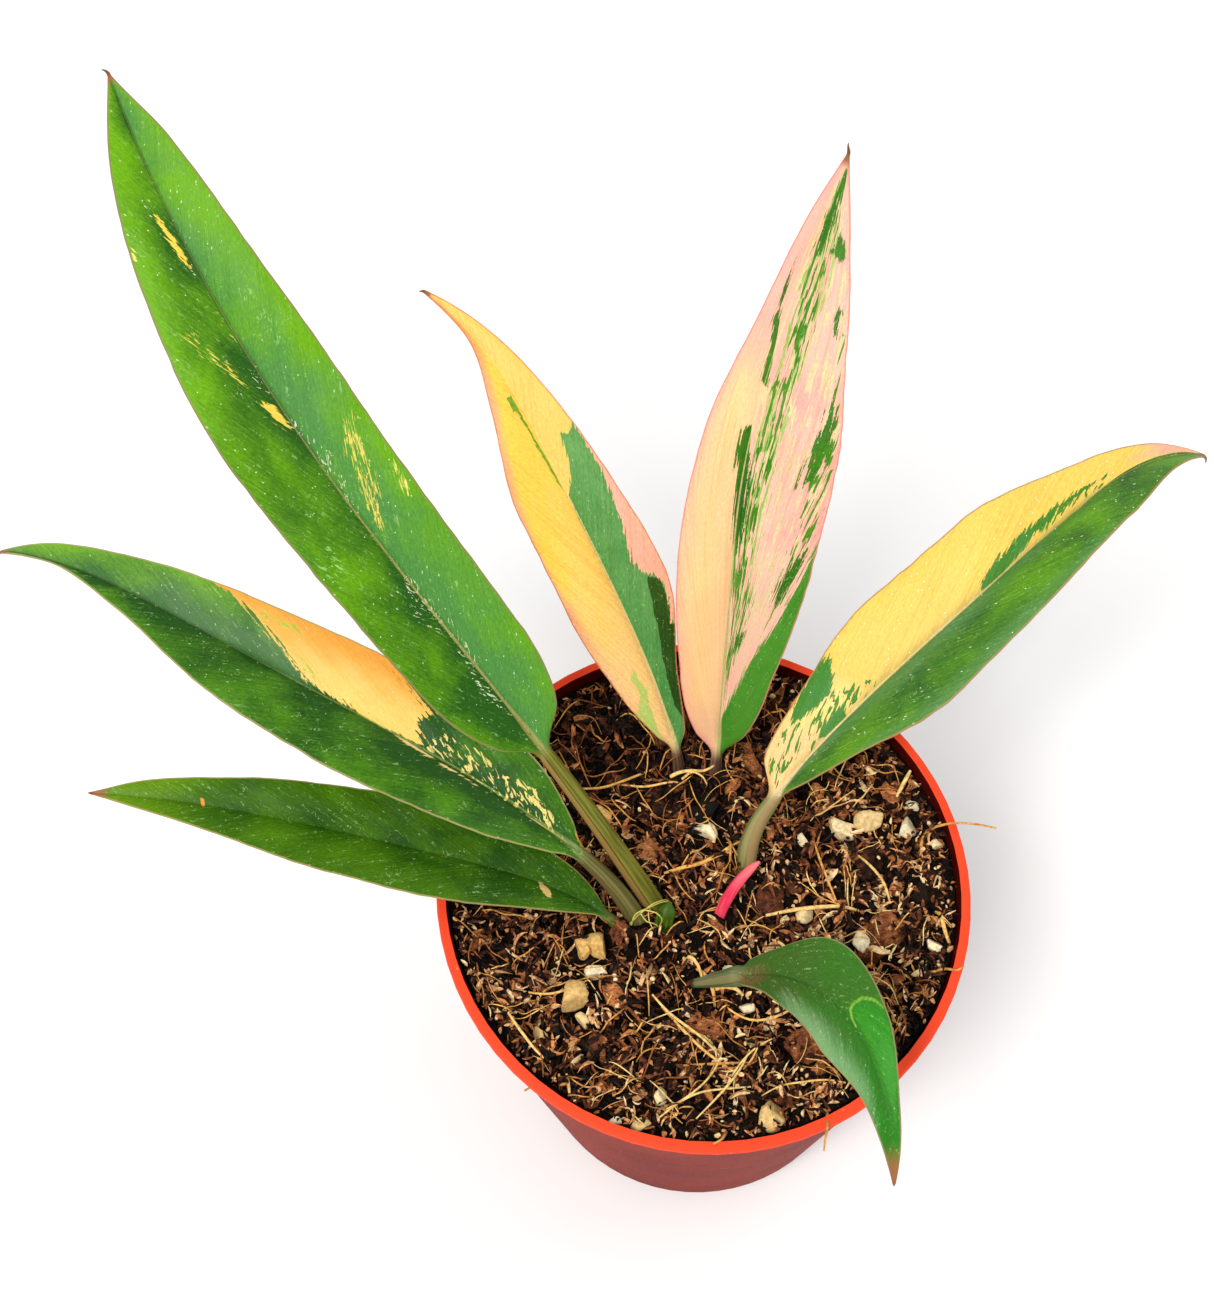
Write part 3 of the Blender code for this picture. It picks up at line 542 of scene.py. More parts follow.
class BladeShader(Shader):
    """A leaf's material, with the values that its mesh carries and the noises that its layers share."""

    def __init__(self, name, look, seed):
        super().__init__(name)
        self.look, self.seed = look, seed
        keys = ("along", "across", "lane", "share_along", "share_across", "edge", "tip")
        values = [self.attribute(key) for key in keys]
        self.along, self.across, self.lane, self.share_along, self.share_across, self.edge, self.tip = values
        self.out = self.math("ABSOLUTE", self.share_across)
        self.beside = self.math("ABSOLUTE", self.across)
        self.broad = self.pattern(0.06, self.across, 0.1, 0, detail=2.0, distortion=0.4)
        self.streaks = self.pattern(0.09, self.lane, 1.5, 3, detail=2.0, roughness=0.6)
        self.fine = self.pattern(0.9, self.lane, 3.0, 7, detail=2.0, roughness=0.65)

    def grid(self, run, line, cut, offset):
        """Where a pattern is read: this many periods a mm along the blade, and across it by a value."""
        return self.vector(self.times(self.along, run), self.times(line, cut), self.seed + offset)

    def pattern(self, run, line, cut, offset, **settings):
        return self.noise(self.grid(run, line, cut, offset), **settings)

    def blended(self, colours, blend):
        """Two colours mixed by place on the blade and by noise."""
        base, to_tip, to_margin, by_noise = blend
        share = self.add(self.times(self.share_along, to_tip), base)
        share = self.add(share, self.times(self.out, to_margin))
        share = self.add(share, self.swing(self.broad, by_noise * 2.2))
        share = self.add(share, self.swing(self.streaks, by_noise * 0.5))
        share = self.add(share, self.swing(self.fine, by_noise * 0.7))
        return self.mix(self.math("ADD", share, 0.0, clamp=True), visible(colours[0]), visible(colours[1]))

    def edge_tint(self, colour):
        if "edge_tint" not in self.look:
            return colour
        tint, reach = self.look["edge_tint"]
        far = self.add(self.edge, self.swing(self.broad, 3.0 * reach))
        return self.paint(colour, self.ramp(far, reach * 1.5, 0.0, 0.0, 0.85), tint)

    def streak_share(self, field, mark, index):
        """Streaks within a mark's outlines, sparser at their edge."""
        settings = dict(detail=2.0, roughness=0.6, distortion=mark.get("curl", 0.0))
        lines = self.pattern(mark["run"], self.lane, mark.get("cut", 1.9), 11 + index, **settings)
        level = self.add(lines, self.ramp(field, -0.8, 1.2, -0.3, 0.0))
        return self.ramp(level, 1.0 - mark["density"], 1.02 - mark["density"])

    def patch_share(self, field, mark):
        """The inside of a mark's outlines, with ragged edges away from the midrib."""
        off_rib = self.ramp(self.beside, 0.0, 1.6, 0.1, 1.0)
        shift = self.add(self.swing(self.fine, 2.4), self.swing(self.streaks, 6.0))
        ragged = self.add(self.times(self.times(shift, mark["ragged"]), off_rib), field)
        soft = mark.get("soft", 0.12)
        return self.ramp(ragged, -soft, soft)

    def marks(self, colour):
        for index, mark in enumerate(self.look["marks"]):
            field = self.attribute(f"mark_{index}")
            over = self.blended(mark["colours"], mark.get("blend", (0.1, 0.1, 0.2, 1.0)))
            streaked = "density" in mark
            share = self.streak_share(field, mark, index) if streaked else self.patch_share(field, mark)
            colour = self.mix(share, colour, over)
        return colour

    def veins(self, colour):
        """Veins, mottling and pale scratches."""
        veins = self.pattern(0.03, self.lane, 1.5, 5, detail=1.5, distortion=0.2)
        share = self.times(self.ramp(veins, 0.5, 0.62), self.look.get("veins", 0.1))
        colour = self.paint(colour, share, self.look["vein"], "MULTIPLY")
        colour = self.shade(colour, self.ramp(self.fine, 0.3, 0.7, 1 - MOTTLE, 1 + MOTTLE))
        curls = self.pattern(0.35, self.across, 0.42, 21, detail=1.0, distortion=1.2)
        scratches = self.ramp(self.math("ABSOLUTE", self.add(curls, -0.5)), 0.016, 0.004)
        scratches = self.times(scratches, self.ramp(self.streaks, 0.48, 0.62))
        return self.paint(colour, self.times(scratches, SCRATCH_SHARE), SCRATCH_GREEN, "LIGHTEN")

    def pale_dots(self, colour):
        strength = self.look.get("specks", 1.0)
        large = self.specks(self.grid(0.3, self.lane, 0.6, 2), 1.0, 0.11, 0.05, 0.4, 0.8 * strength)
        colour = self.paint(colour, large, DOT)
        small = self.specks(self.grid(0.7, self.across, 0.75, 9), 1.0, 0.12, 0.06, 0.66, 0.9 * strength)
        return self.paint(colour, small, BRIGHT_DOT)

    def midrib(self, colour):
        """The midrib's line, which thins to the tip, and the shaded crease beside it."""
        rib_colour, base, far = self.look["rib"]
        width = self.ramp(self.share_along, 0.0, 0.7, self.look.get("rib_width", 0.34), 0.13)
        width = self.add(width, self.ramp(self.share_along, 0.1, 0.0, 0.0, 0.7))
        rib = self.ramp(self.math("DIVIDE", self.beside, width), 1.25, 0.6)
        reach = self.look["rib_reach"]
        rib = self.times(rib, self.ramp(self.share_along, reach, reach + 0.3, base, far))
        rib = self.times(rib, self.ramp(self.fine, 0.3, 0.55, 0.5, 1.0))
        colour = self.paint(colour, rib, rib_colour)
        crease = self.ramp(self.beside, 0.45, 0.12, 0.0, self.look.get("crease", 0.5))
        crease = self.times(crease, self.ramp(self.share_along, 0.25, 0.6))
        return self.paint(colour, crease, CREASE, "MULTIPLY")

    def margins(self, colour):
        """The thin margin, and the dry tip."""
        width = self.look.get("margin_width", 0.4)
        rim = self.ramp(self.add(self.edge, self.swing(self.fine, 0.4)), width, width * 0.45)
        colour = self.paint(colour, self.times(rim, 0.85), self.look["margin"])
        brown = self.look["tip_brown"]
        dry = self.ramp(self.add(self.tip, self.swing(self.fine, 2.0)), brown * 1.3, brown * 0.3)
        colour = self.paint(colour, dry, DRY)
        return self.paint(colour, self.ramp(self.tip, 0.6, -0.6), BROWN)

    def stalk(self, colour):
        """The stalk's two colours in strands, with a strip of a third along one side."""
        around = self.attribute("around")
        strands = self.pattern(0.05, around, 2.2, 0, detail=2.0)
        dark, light, strip = self.look["stalk"]
        stem = self.mix(self.ramp(strands, 0.38, 0.62), visible(dark), visible(light))
        off_strip = self.math("ABSOLUTE", self.add(around, -self.look.get("strip", 2.2)))
        share = self.ramp(self.add(off_strip, self.swing(strands, 0.3)), 0.5, 0.38)
        stem = self.paint(stem, self.times(share, 0.85), strip)
        seam = self.ramp(self.math("ABSOLUTE", self.add(off_strip, -0.48)), 0.1, 0.02)
        stem = self.paint(stem, self.times(seam, self.look.get("seam", 0.2)), SEAM, "MULTIPLY")
        return self.mix(self.ramp(self.attribute("stalk"), -4.0, 1.0), colour, stem)


def leaf_material(name, look, seed):
    """The blade's colours, laid one over another."""
    s = BladeShader(name, look, seed)
    colour = s.blended(look["colours"], look["blend"])
    for layer in (s.edge_tint, s.marks, s.veins, s.pale_dots, s.midrib, s.margins, s.stalk):
        colour = layer(colour)
    colour = s.paint(colour, s.times(s.attribute("under"), 0.3), UNDERSIDE)
    gloss, relief = look.get("gloss", 0.2), look.get("relief", 0.5)
    return s.finish(colour, s.fine, (0.36, 0.5), gloss, s.fine, relief, 0.1)


# The curves that the model's leaves follow.


def smooth_curve(stations, values, at):
    """Values at any places of a smooth curve through a few stations, which never overshoots them."""
    stations = np.asarray(stations, float)
    values = np.asarray(values, float)
    at = np.clip(at, stations[0], stations[-1])
    steps = np.diff(stations)
    slopes = np.diff(values) / steps
    before, after = slopes[:-1], slopes[1:]
    near, far = 2 * steps[1:] + steps[:-1], steps[1:] + 2 * steps[:-1]
    rising = before * after > 0
    mean = (near + far) * before * after / np.where(rising, near * after + far * before, 1.0)
    slopes = np.concatenate([slopes[:1], np.where(rising, mean, 0.0), slopes[-1:]])
    index = np.clip(np.searchsorted(stations, at, side="right") - 1, 0, len(steps) - 1)
    step = steps[index]
    u = (at - stations[index]) / step
    return (
        (2 * u**3 - 3 * u**2 + 1) * values[index]
        + (u**3 - 2 * u**2 + u) * step * slopes[index]
        + (3 * u**2 - 2 * u**3) * values[index + 1]
        + (u**3 - u**2) * step * slopes[index + 1]
    )


def directions(pitch, heading):
    """Unit vectors along, to the left of and up from a line of this pitch and heading in radians."""
    along = np.stack([np.cos(pitch) * np.cos(heading), np.cos(pitch) * np.sin(heading), np.sin(pitch)], -1)
    left = np.stack([-np.sin(heading), np.cos(heading), 0 * heading], -1)
    return along, left, np.cross(along, left)


def walk(foot, stations, pitches, headings, at, nib=(0.0, 0.0, 0.0)):
    """Points and directions at distances along a line; a nib of some length curls on past its end."""
    nib_length, nib_pitch, nib_heading = nib
    end = stations[-1]
    fine = np.linspace(-SINK - 1.0, end + nib_length, 600)
    past = np.clip((fine - end) / max(nib_length, 0.001), 0.0, 1.0)
    pitch = smooth_curve(stations, pitches, fine)
    pitch += (ROOT_PITCH - pitches[0]) * np.clip(-fine / SINK, 0.0, 1.0)
    pitch = np.radians(pitch + nib_pitch * past)
    heading = np.radians(smooth_curve(stations, headings, fine) + nib_heading * past)
    along = directions(pitch, heading)[0]
    steps = (along[1:] + along[:-1]) / 2 * np.diff(fine)[:, None]
    line = np.vstack([np.zeros(3), np.cumsum(steps, axis=0)])
    start = np.array([np.interp(0.0, fine, line[:, axis]) for axis in range(3)])
    line += np.array([*foot, SOIL_LEVEL]) - start
    points = np.stack([np.interp(at, fine, line[:, axis]) for axis in range(3)], -1)
    return points, *directions(np.interp(at, fine, pitch), np.interp(at, fine, heading))


def half_width(leaf, side, t):
    """Half width of the blade on one side at a share of its length, with a rounded base."""
    width = smooth_curve(WIDTH_STATIONS, (*leaf[side], TIP_HALF_WIDTH), t)
    rounding = np.clip(t / leaf["base_round"], 0.0, 1.0)
    return np.maximum(width * np.sqrt(1 - (1 - rounding) ** 2), 0.2)


def signed_distance(x, y, outline):
    """Distance from each point to a closed outline, positive inside it."""
    nearest = np.full(x.shape, 1e9)
    inside = np.zeros(x.shape, bool)
    for (ax, ay), (bx, by) in zip(outline, outline[1:] + outline[:1]):
        dx, dy = bx - ax, by - ay
        length = dx * dx + dy * dy + 1e-12
        u = np.clip(((x - ax) * dx + (y - ay) * dy) / length, 0, 1)
        nearest = np.minimum(nearest, np.hypot(x - ax - u * dx, y - ay - u * dy))
        crosses = (ay > y) != (by > y)
        inside ^= crosses & (x < ax + dx * (y - ay) / (dy if abs(dy) > 1e-9 else 1e-9))
    return np.where(inside, nearest, -nearest)


def wobble(values, seed):
    """A smooth random line through the values, about -1 to 1."""
    return np.array([noise.noise((value, seed * 3.7, seed * 1.3)) for value in values])


def side_waves(at, waves, seed, q):
    """Smooth random waves along the blade, other ones on each side of the midrib."""
    length, height, step = waves
    left, right = (wobble(at / length, seed + step * k)[:, None] for k in (1, 2))
    return height * np.where(q >= 0, left, right)


# Leaves. In these functions t is the share along the blade, and q the share across it, from 1 at the left
# margin, through 0 at the midrib, to -1 at the right margin.


def leaf_columns():
    """Shares across the blade, from the left margin to the right, closer near the midrib and the margins."""
    even = np.linspace(0, 1, HALF_COLUMNS + 1)
    shares = 0.6 * even + 0.4 * 0.5 * (1 - np.cos(math.pi * even))
    return np.concatenate([shares[::-1], -shares[1:]])


def leaf_rings(leaf):
    """Distances from the foot at which the fine mesh has its rings."""
    stalk, blade, nib = leaf["stalk"], leaf["blade"], leaf["nib"][0]
    below = np.linspace(-SINK, stalk - 0.6, max(6, round((stalk + SINK) / STALK_STEP)))
    even = np.linspace(0, 1, round(blade / RING_STEP))
    shares = 0.7 * even + 0.3 * 0.5 * (1 - np.cos(math.pi * even))
    past = stalk + blade + nib * np.linspace(0, 1, 8)[1:]
    return np.concatenate([below, stalk + blade * shares, past])


def blade_lift(leaf, seed, at, q, t, width, streak):
    """Height of the blade's middle face over the midrib: its fold, bow, waves and quilting."""
    share, side = np.abs(q), np.sign(q)
    middle = np.sin(math.pi * t)
    lift = share * width * math.sin(math.radians(leaf["fold"])) + BOW * width * 4 * share * (1 - share)
    lift = lift + leaf["wave"] * share**2 * middle * np.sin(math.tau * WAVES * t + WAVE_LAG * side)
    lift = lift + side_waves(at, MARGIN_WAVES, seed, q) * share**3 * middle
    quilt = np.sin(math.tau * streak / QUILT_LENGTH) * QUILT_HEIGHT * np.clip(q * width * side / 3, 0, 1)
    quilt = quilt * (1 - share**4) * middle
    slow = side_waves(at, SLOW_WAVES, seed, q) * share * (1 - share) * 4 * middle
    return lift + quilt + slow


def blade_faces(lift, q, y, t, radius):
    """Heights of the upper face, with its groove, and of the lower face, with its keel."""
    share = np.abs(q)
    groove = GROOVE_DEPTH * np.exp(-((y / GROOVE_WIDTH) ** 2)) * np.clip(1 - t, 0, 1)
    half = EDGE_THICKNESS + (HALF_THICKNESS - EDGE_THICKNESS) * np.sqrt(np.clip(1 - share**6, 0, 1))
    keel = RIB_DEPTH * radius * np.clip(1 - share / RIB_SHARE, 0, 1) ** 1.3
    return lift + half - groove, lift - half - keel


def flat_share(leaf, at, past):
    """How much of the blade's form a ring has. The stalk and the nib at the tip are round."""
    flat = np.clip((at - leaf["stalk"] + 1.0) / (0.05 * leaf["blade"] + 1.0), 0, 1)
    flat = (flat * flat * (3 - 2 * flat))[:, None]
    return flat * (1 - past) ** 2


def leaf_values(leaf, at, q, t, width, streak, rays):
    """The values that the leaf's material reads."""
    x = (at - leaf["stalk"])[:, None] + 0 * q
    values = dict(along=x, across=q * width, share_along=t + 0 * q, share_across=q + 0 * x)
    values["edge"] = np.where(x < 0, 9.0, (1 - np.abs(q)) * width)
    values["tip"] = np.broadcast_to((leaf["stalk"] + leaf["blade"] - at)[:, None], x.shape)
    values["stalk"] = -x
    values["lane"] = RAY_SPREAD * np.abs(q) / (t + RAY_START) + 0 * x if rays else streak
    return values


def leaf_shape(leaf, seed, rays):
    """Points of the leaf's upper and lower face by ring and column, and the values its material reads."""
    stalk, blade, nib = leaf["stalk"], leaf["blade"], leaf["nib"]
    at = leaf_rings(leaf)
    q = leaf_columns()[None, :]
    stations = (0.0, stalk, stalk + blade / 3, stalk + 2 * blade / 3, stalk + blade)
    centres, _, left, up = walk(leaf["foot"], stations, leaf["pitch"], leaf["heading"], at, nib)
    t = np.clip((at - stalk) / blade, 0, 1)
    roll = np.radians(leaf["roll"][0] + (leaf["roll"][1] - leaf["roll"][0]) * t)[:, None]
    left, up = np.cos(roll) * left + np.sin(roll) * up, np.cos(roll) * up - np.sin(roll) * left
    width = np.where(q >= 0, half_width(leaf, "left", t)[:, None], half_width(leaf, "right", t)[:, None])
    foot, top = leaf["radii"]
    radii = (foot * ROOT_TAPER, foot, top, TIP_RADIUS)
    radius = np.interp(at, (-SINK, 0, stalk, stalk + blade), radii)[:, None]
    t = t[:, None]
    streak = np.abs(q * width) - ((at - stalk)[:, None] + 0 * q) * VEIN_SLOPE
    notches = side_waves(at, MARGIN_NOTCHES, seed, q) * np.abs(q) ** 4
    spread = q * width * math.cos(math.radians(leaf["fold"])) * (1 + notches)
    heights = blade_faces(blade_lift(leaf, seed, at, q, t, width, streak), q, q * width, t, radius)

    past = np.clip((at - stalk - blade) / nib[0], 0, 1)[:, None]
    flat = flat_share(leaf, at, past)
    radius = radius * (1 - 0.75 * past)
    turn = (1 - q) / 2 * math.pi
    faces = []
    for height, sign in zip(heights, (1, -1)):
        out = spread * flat + radius * np.cos(turn) * (1 - flat)
        rise = height * flat + sign * radius * np.sin(turn) * (1 - flat)
        beside = out[..., None] * left[:, None, :] + rise[..., None] * up[:, None, :]
        faces.append(centres[:, None, :] + beside)
    around = [np.tile(turn, (len(at), 1)), np.tile(-turn, (len(at), 1))]
    return faces, around, leaf_values(leaf, at, q, t, width, streak, rays)


def mark_fields(leaf, look, values):
    """How far inside each mark's outlines a point lies, in mm."""
    x, y = values["along"], values["share_across"] * MARK_HALF
    fields = {}
    for index, mark in enumerate(look["marks"]):
        deepest = np.full(x.shape, -FIELD_LIMIT)
        for outline in mark["outlines"]:
            places = [(along / 100 * leaf["blade"], across / 100 * MARK_HALF) for along, across in outline]
            deepest = np.maximum(deepest, signed_distance(x, y, places))
        fields[f"mark_{index}"] = np.clip(deepest, -FIELD_LIMIT, FIELD_LIMIT)
    return fields


def grid_faces(rings, columns):
    """Triangles of the closed loft: both faces of the blade are split along the same diagonal."""
    ring, column = np.meshgrid(np.arange(rings - 1), np.arange(columns - 1), indexing="ij")
    a = (ring * columns + column).ravel()
    b, c, d = a + 1, a + columns + 1, a + columns
    offset = rings * columns
    upper = np.concatenate([np.stack([a, b, c], -1), np.stack([a, c, d], -1)])
    lower = np.concatenate([np.stack([a, c, b], -1), np.stack([a, d, c], -1)]) + offset
    return upper, lower


def leaf_faces(rings, columns):
    """Both faces, the narrow strips that close them along the margins, and the caps at the two ends."""
    top, bottom = grid_faces(rings, columns)
    offset = rings * columns
    strips = []
    for column, order in ((0, 1), (columns - 1, -1)):
        a = np.arange(rings - 1) * columns + column
        b = a + columns
        quad = [np.stack([a, b, b + offset], -1), np.stack([a, b + offset, a + offset], -1)]
        strips += [face[:, ::order] for face in quad]
    caps = []
    for ring, order in ((0, -1), (rings - 1, 1)):
        for a in range(ring * columns, ring * columns + columns - 1):
            caps += [[a, a + 1, a + 1 + offset][::order], [a, a + 1 + offset, a + offset][::order]]
    return np.concatenate([top, bottom, *strips, np.array(caps)])


def new_mesh(name, points, faces, values=None):
    """A mesh of points in mm and triangles, with the values of its points under their names."""
    mesh = bpy.data.meshes.new(name)
    mesh.from_pydata((np.asarray(points) * MM).tolist(), [], np.asarray(faces).tolist())
    for key, numbers in (values or {}).items():
        layer = mesh.attributes.new(key, "FLOAT", "POINT")
        layer.data.foreach_set("value", np.asarray(numbers, np.float32))
    return mesh


def build_leaf(name, piece_name, seed):
    leaf, look = LEAVES[name], LOOKS[name]
    (upper, lower), around, values = leaf_shape(leaf, seed, "rays" in look)
    rings, columns = upper.shape[:2]
    values.update(mark_fields(leaf, look, values))
    points = np.concatenate([upper.reshape(-1, 3), lower.reshape(-1, 3)])
    under = np.clip((values["along"].ravel() + 2) / 6, 0, 1)
    values = {key: np.concatenate([value.ravel(), value.ravel()]) for key, value in values.items()}
    values["around"] = np.concatenate([turn.ravel() for turn in around])
    values["under"] = np.concatenate([np.zeros(rings * columns), under])
    mesh = new_mesh(piece_name, points, leaf_faces(rings, columns), values)
    work = bmesh.new()
    work.from_mesh(mesh)
    bmesh.ops.remove_doubles(work, verts=work.verts, dist=0.000001)
    bmesh.ops.recalc_face_normals(work, faces=work.faces)
    work.to_mesh(mesh)
    work.free()
    mesh.shade_smooth()
    mesh.set_sharp_from_angle(angle=math.radians(60))
    piece = add_piece(piece_name, mesh, leaf_material(name + " blade", look, float(seed)))
    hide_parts(name)


def add_piece(name, mesh, material):
    piece = bpy.data.objects.new(name, mesh)
    bpy.context.scene.collection.objects.link(piece)
    mesh.materials.append(material)
    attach(piece, ROOT)
    return piece


# Soil.


class Gatherer:
    """Collects many small closed shapes into one mesh, each with a tone from 0 to 1."""

    def __init__(self):
        self.points, self.faces, self.tones, self.count = [], [], [], 0

    def put(self, points, faces, tone):
        self.points.append(points)
        self.faces.append(faces + self.count)
        self.tones.append(np.full(len(points), tone))
        self.count += len(points)

    def piece(self, name, material, slot, smooth_angle):
        values = {"tone": np.concatenate(self.tones)}
        mesh = new_mesh(name, np.concatenate(self.points), np.concatenate(self.faces), values)
        mesh.shade_smooth()
        mesh.set_sharp_from_angle(angle=math.radians(smooth_angle))
        piece = add_piece(name, mesh, material)


def foot_distance(x, y):
    """Distance from a place on the soil to the nearest stalk."""
    return min(math.dist((x, y), foot) for foot in FEET)


def chips():
    """The model's lumps on the soil: (x, y, half length, half width, turn, height)."""
    draw = random.Random(CHIP_SEED)
    found = []
    reach = RIM_RADIUS - LIP_WIDTH - CHIP_RIM_MARGIN
    while len(found) < CHIP_COUNT:
        radius = reach * math.sqrt(draw.random())
        turn = draw.uniform(0, math.tau)
        x, y = radius * math.cos(turn), radius * math.sin(turn)
        length = draw.uniform(*CHIP_LENGTHS)
        if foot_distance(x, y) < length + CHIP_FOOT_MARGIN:
            continue
        width = length * draw.uniform(*CHIP_PROPORTIONS)
        turn = draw.uniform(0, math.pi)
        found.append((x, y, length, width, turn, draw.uniform(*CHIP_RISES)))
    return found


def soil_height(x, y, lumps):
    """Height of the model's soil at a point."""
    place = (x / SOIL_GRAIN, y / SOIL_GRAIN, 0.0)
    height = SOIL_LEVEL + SOIL_ROUGHNESS * noise.fractal(place, 1.0, 2.1, 3)
    bank = min(max((math.hypot(x, y) - BANK_START) / (BANK_END - BANK_START), 0.0), 1.0)
    height += BANK_RISE * bank * bank * (3 - 2 * bank)
    for cx, cy, length, width, turn, rise in lumps:
        along = (x - cx) * math.cos(turn) + (y - cy) * math.sin(turn)
        across = (y - cy) * math.cos(turn) - (x - cx) * math.sin(turn)
        spread = (along / length) ** 2 + (across / width) ** 2
        if spread < 1:
            height += rise * math.sqrt(1 - spread)
    return height


def wall_radius(height):
    """Radius of the pot wall's outer face at a height."""
    top = RIM_RADIUS - LIP_WIDTH + WALL
    return BASE_RADIUS + (top - BASE_RADIUS) * height / POT_HEIGHT


def oval_factor(x, y, height):
    """How far the oval wall stands out or in at this point, as a factor on the radius."""
    turn = math.atan2(y, x) - math.radians(OVAL_HEADING)
    return 1.0 + OVAL * (height / POT_HEIGHT) * math.cos(2 * turn)


class SoilTop:
    """Heights of the soil on a square grid, raised as pieces are laid on it."""

    STEP = 0.75
    REACH = 62.0

    def __init__(self):
        lumps = chips()
        self.places = np.arange(-self.REACH, self.REACH + self.STEP, self.STEP)
        self.x, self.y = np.meshgrid(self.places, self.places)
        rows = [[soil_height(x, y, lumps) for x in self.places] for y in self.places]
        share = np.hypot(self.x, self.y) / (RIM_RADIUS - LIP_WIDTH)
        edge = np.clip((share - EDGE_START) / (1 - EDGE_START), 0, 1)
        self.height = np.array(rows) - BED_DROP + EDGE_RISE * edge
        for x, y, reach, rise in MOUNDS:
            self.height += rise * np.exp(-(((self.x - x) ** 2 + (self.y - y) ** 2) / reach**2) ** 1.5)
        turn = np.arctan2(self.y, self.x) - math.radians(OVAL_HEADING)
        oval = OVAL * WALL_LEVEL / POT_HEIGHT * np.cos(2 * turn)
        inward = (wall_radius(WALL_LEVEL) - WALL) * (1 + oval) - np.hypot(self.x, self.y)
        self.height = np.maximum(self.height, WALL_LEVEL - WALL_SLOPE * np.maximum(inward, 0))

    def steps(self, values):
        """Places in mm as steps on the grid."""
        return (np.asarray(values) + self.REACH) / self.STEP

    def at(self, x, y):
        """Height at any place, between those of the grid."""
        u, v = (np.clip(self.steps(value), 0, len(self.places) - 1.001) for value in (x, y))
        i, j = u.astype(int), v.astype(int)
        a, b = u - i, v - j
        h = self.height
        return (
            h[j, i] * (1 - a) * (1 - b) + h[j, i + 1] * a * (1 - b)
            + h[j + 1, i] * (1 - a) * b + h[j + 1, i + 1] * a * b
        )

    def raise_to(self, points):
        """The grid stands at least as high as these points."""
        nearest = np.round(self.steps(points[:, :2])).astype(int)
        i, j = np.clip(nearest, 0, len(self.places) - 1).T
        np.maximum.at(self.height, (j, i), points[:, 2])


def stone_shape(draw, subdivisions, cuts, roughness):
    """A rough lump of about unit radius: a sphere cut by random planes, with bumps."""
    work = bmesh.new()
    bmesh.ops.create_icosphere(work, subdivisions=subdivisions, radius=1.0)
    points = np.array([vertex.co[:] for vertex in work.verts])
    faces = np.array([[vertex.index for vertex in face.verts] for face in work.faces])
    work.free()
    for _ in range(cuts):
        normal = np.array([draw.gauss(0, 1) for _ in range(3)])
        normal /= np.linalg.norm(normal)
        beyond = np.clip(points @ normal - draw.uniform(0.35, 0.8), 0, None)
        points -= beyond[:, None] * normal
    shift = draw.uniform(0, 50)
    places = [Vector(point) * 2.2 + Vector((shift, 0, 0)) for point in points]
    bumps = np.array([noise.fractal(place, 0.9, 2.2, 3) for place in places])
    return points * (1 + roughness * bumps)[:, None], faces


def turned_by(draw, tilt):
    """A random turn about Z after a tilt of up to so many degrees."""
    a, b = math.radians(draw.gauss(0, tilt)), math.radians(draw.gauss(0, tilt))
    c = draw.uniform(0, math.tau)
    about_x = np.array([[1, 0, 0], [0, math.cos(a), -math.sin(a)], [0, math.sin(a), math.cos(a)]])
    about_y = np.array([[math.cos(b), 0, math.sin(b)], [0, 1, 0], [-math.sin(b), 0, math.cos(b)]])
    about_z = np.array([[math.cos(c), -math.sin(c), 0], [math.sin(c), math.cos(c), 0], [0, 0, 1]])
    return about_z @ about_y @ about_x


def inside_pot(x, y, margin):
    limit = (wall_radius(SOIL_EDGE) - WALL - margin) * oval_factor(x, y, SOIL_EDGE)
    return math.hypot(x, y) < limit


def edge_place(draw, margin):
    """A place on the soil close to the wall."""
    turn = draw.uniform(0, math.tau)
    x, y = math.cos(turn), math.sin(turn)
    radius = wall_radius(SOIL_EDGE) - WALL - margin - draw.uniform(0, EDGE_BELT)
    radius *= oval_factor(x, y, SOIL_EDGE)
    return radius * x, radius * y


def random_place(draw, margin, foot_margin, off_lumps=True):
    """A place on the soil, clear of the wall and the stalks, and of the listed lumps and grains."""
    while True:
        x, y = draw.uniform(-RIM_RADIUS, RIM_RADIUS), draw.uniform(-RIM_RADIUS, RIM_RADIUS)
        if not inside_pot(x, y, margin) or foot_distance(x, y) < foot_margin:
            continue
        lumps = LUMPS if off_lumps else ()
        if any(math.hypot(x - cx, y - cy) < 0.9 * size[1] + 0.2 * margin for cx, cy, size, _ in lumps):
            continue
        if all(math.hypot(x - cx, y - cy) > 0.8 * size + 0.4 * margin for cx, cy, size, _ in PERLITE):
            return x, y


STRIP_RINGS = 5
STRIP_SIDES = 4


def strip(draw, length, width, thickness):
    """A bent and twisted splinter of these half sizes, thin at its ends."""
    share = np.linspace(-1, 1, STRIP_RINGS)
    bend, arch = draw.gauss(0, 0.25) * length, draw.uniform(-0.1, 0.35) * length
    path = np.stack([share * length, bend * share**2, -arch * share**2], -1)
    turn = draw.uniform(0, math.pi) + draw.uniform(-0.9, 0.9) * share
    breadth = 1 - 0.75 * np.abs(share) ** 3
    out = np.stack([0 * share, np.cos(turn), np.sin(turn)], -1) * (width * breadth)[:, None]
    up = np.stack([0 * share, -np.sin(turn), np.cos(turn)], -1) * (thickness * breadth)[:, None]
    rings = np.stack([path + out, path + up, path - out, path - up], 1)
    last = (STRIP_RINGS - 1) * STRIP_SIDES
    ends = [(0, 2, 1), (0, 3, 2), (last, last + 1, last + 2), (last, last + 2, last + 3)]
    return rings.reshape(-1, 3), np.array(ring_faces(STRIP_RINGS, STRIP_SIDES) + ends)


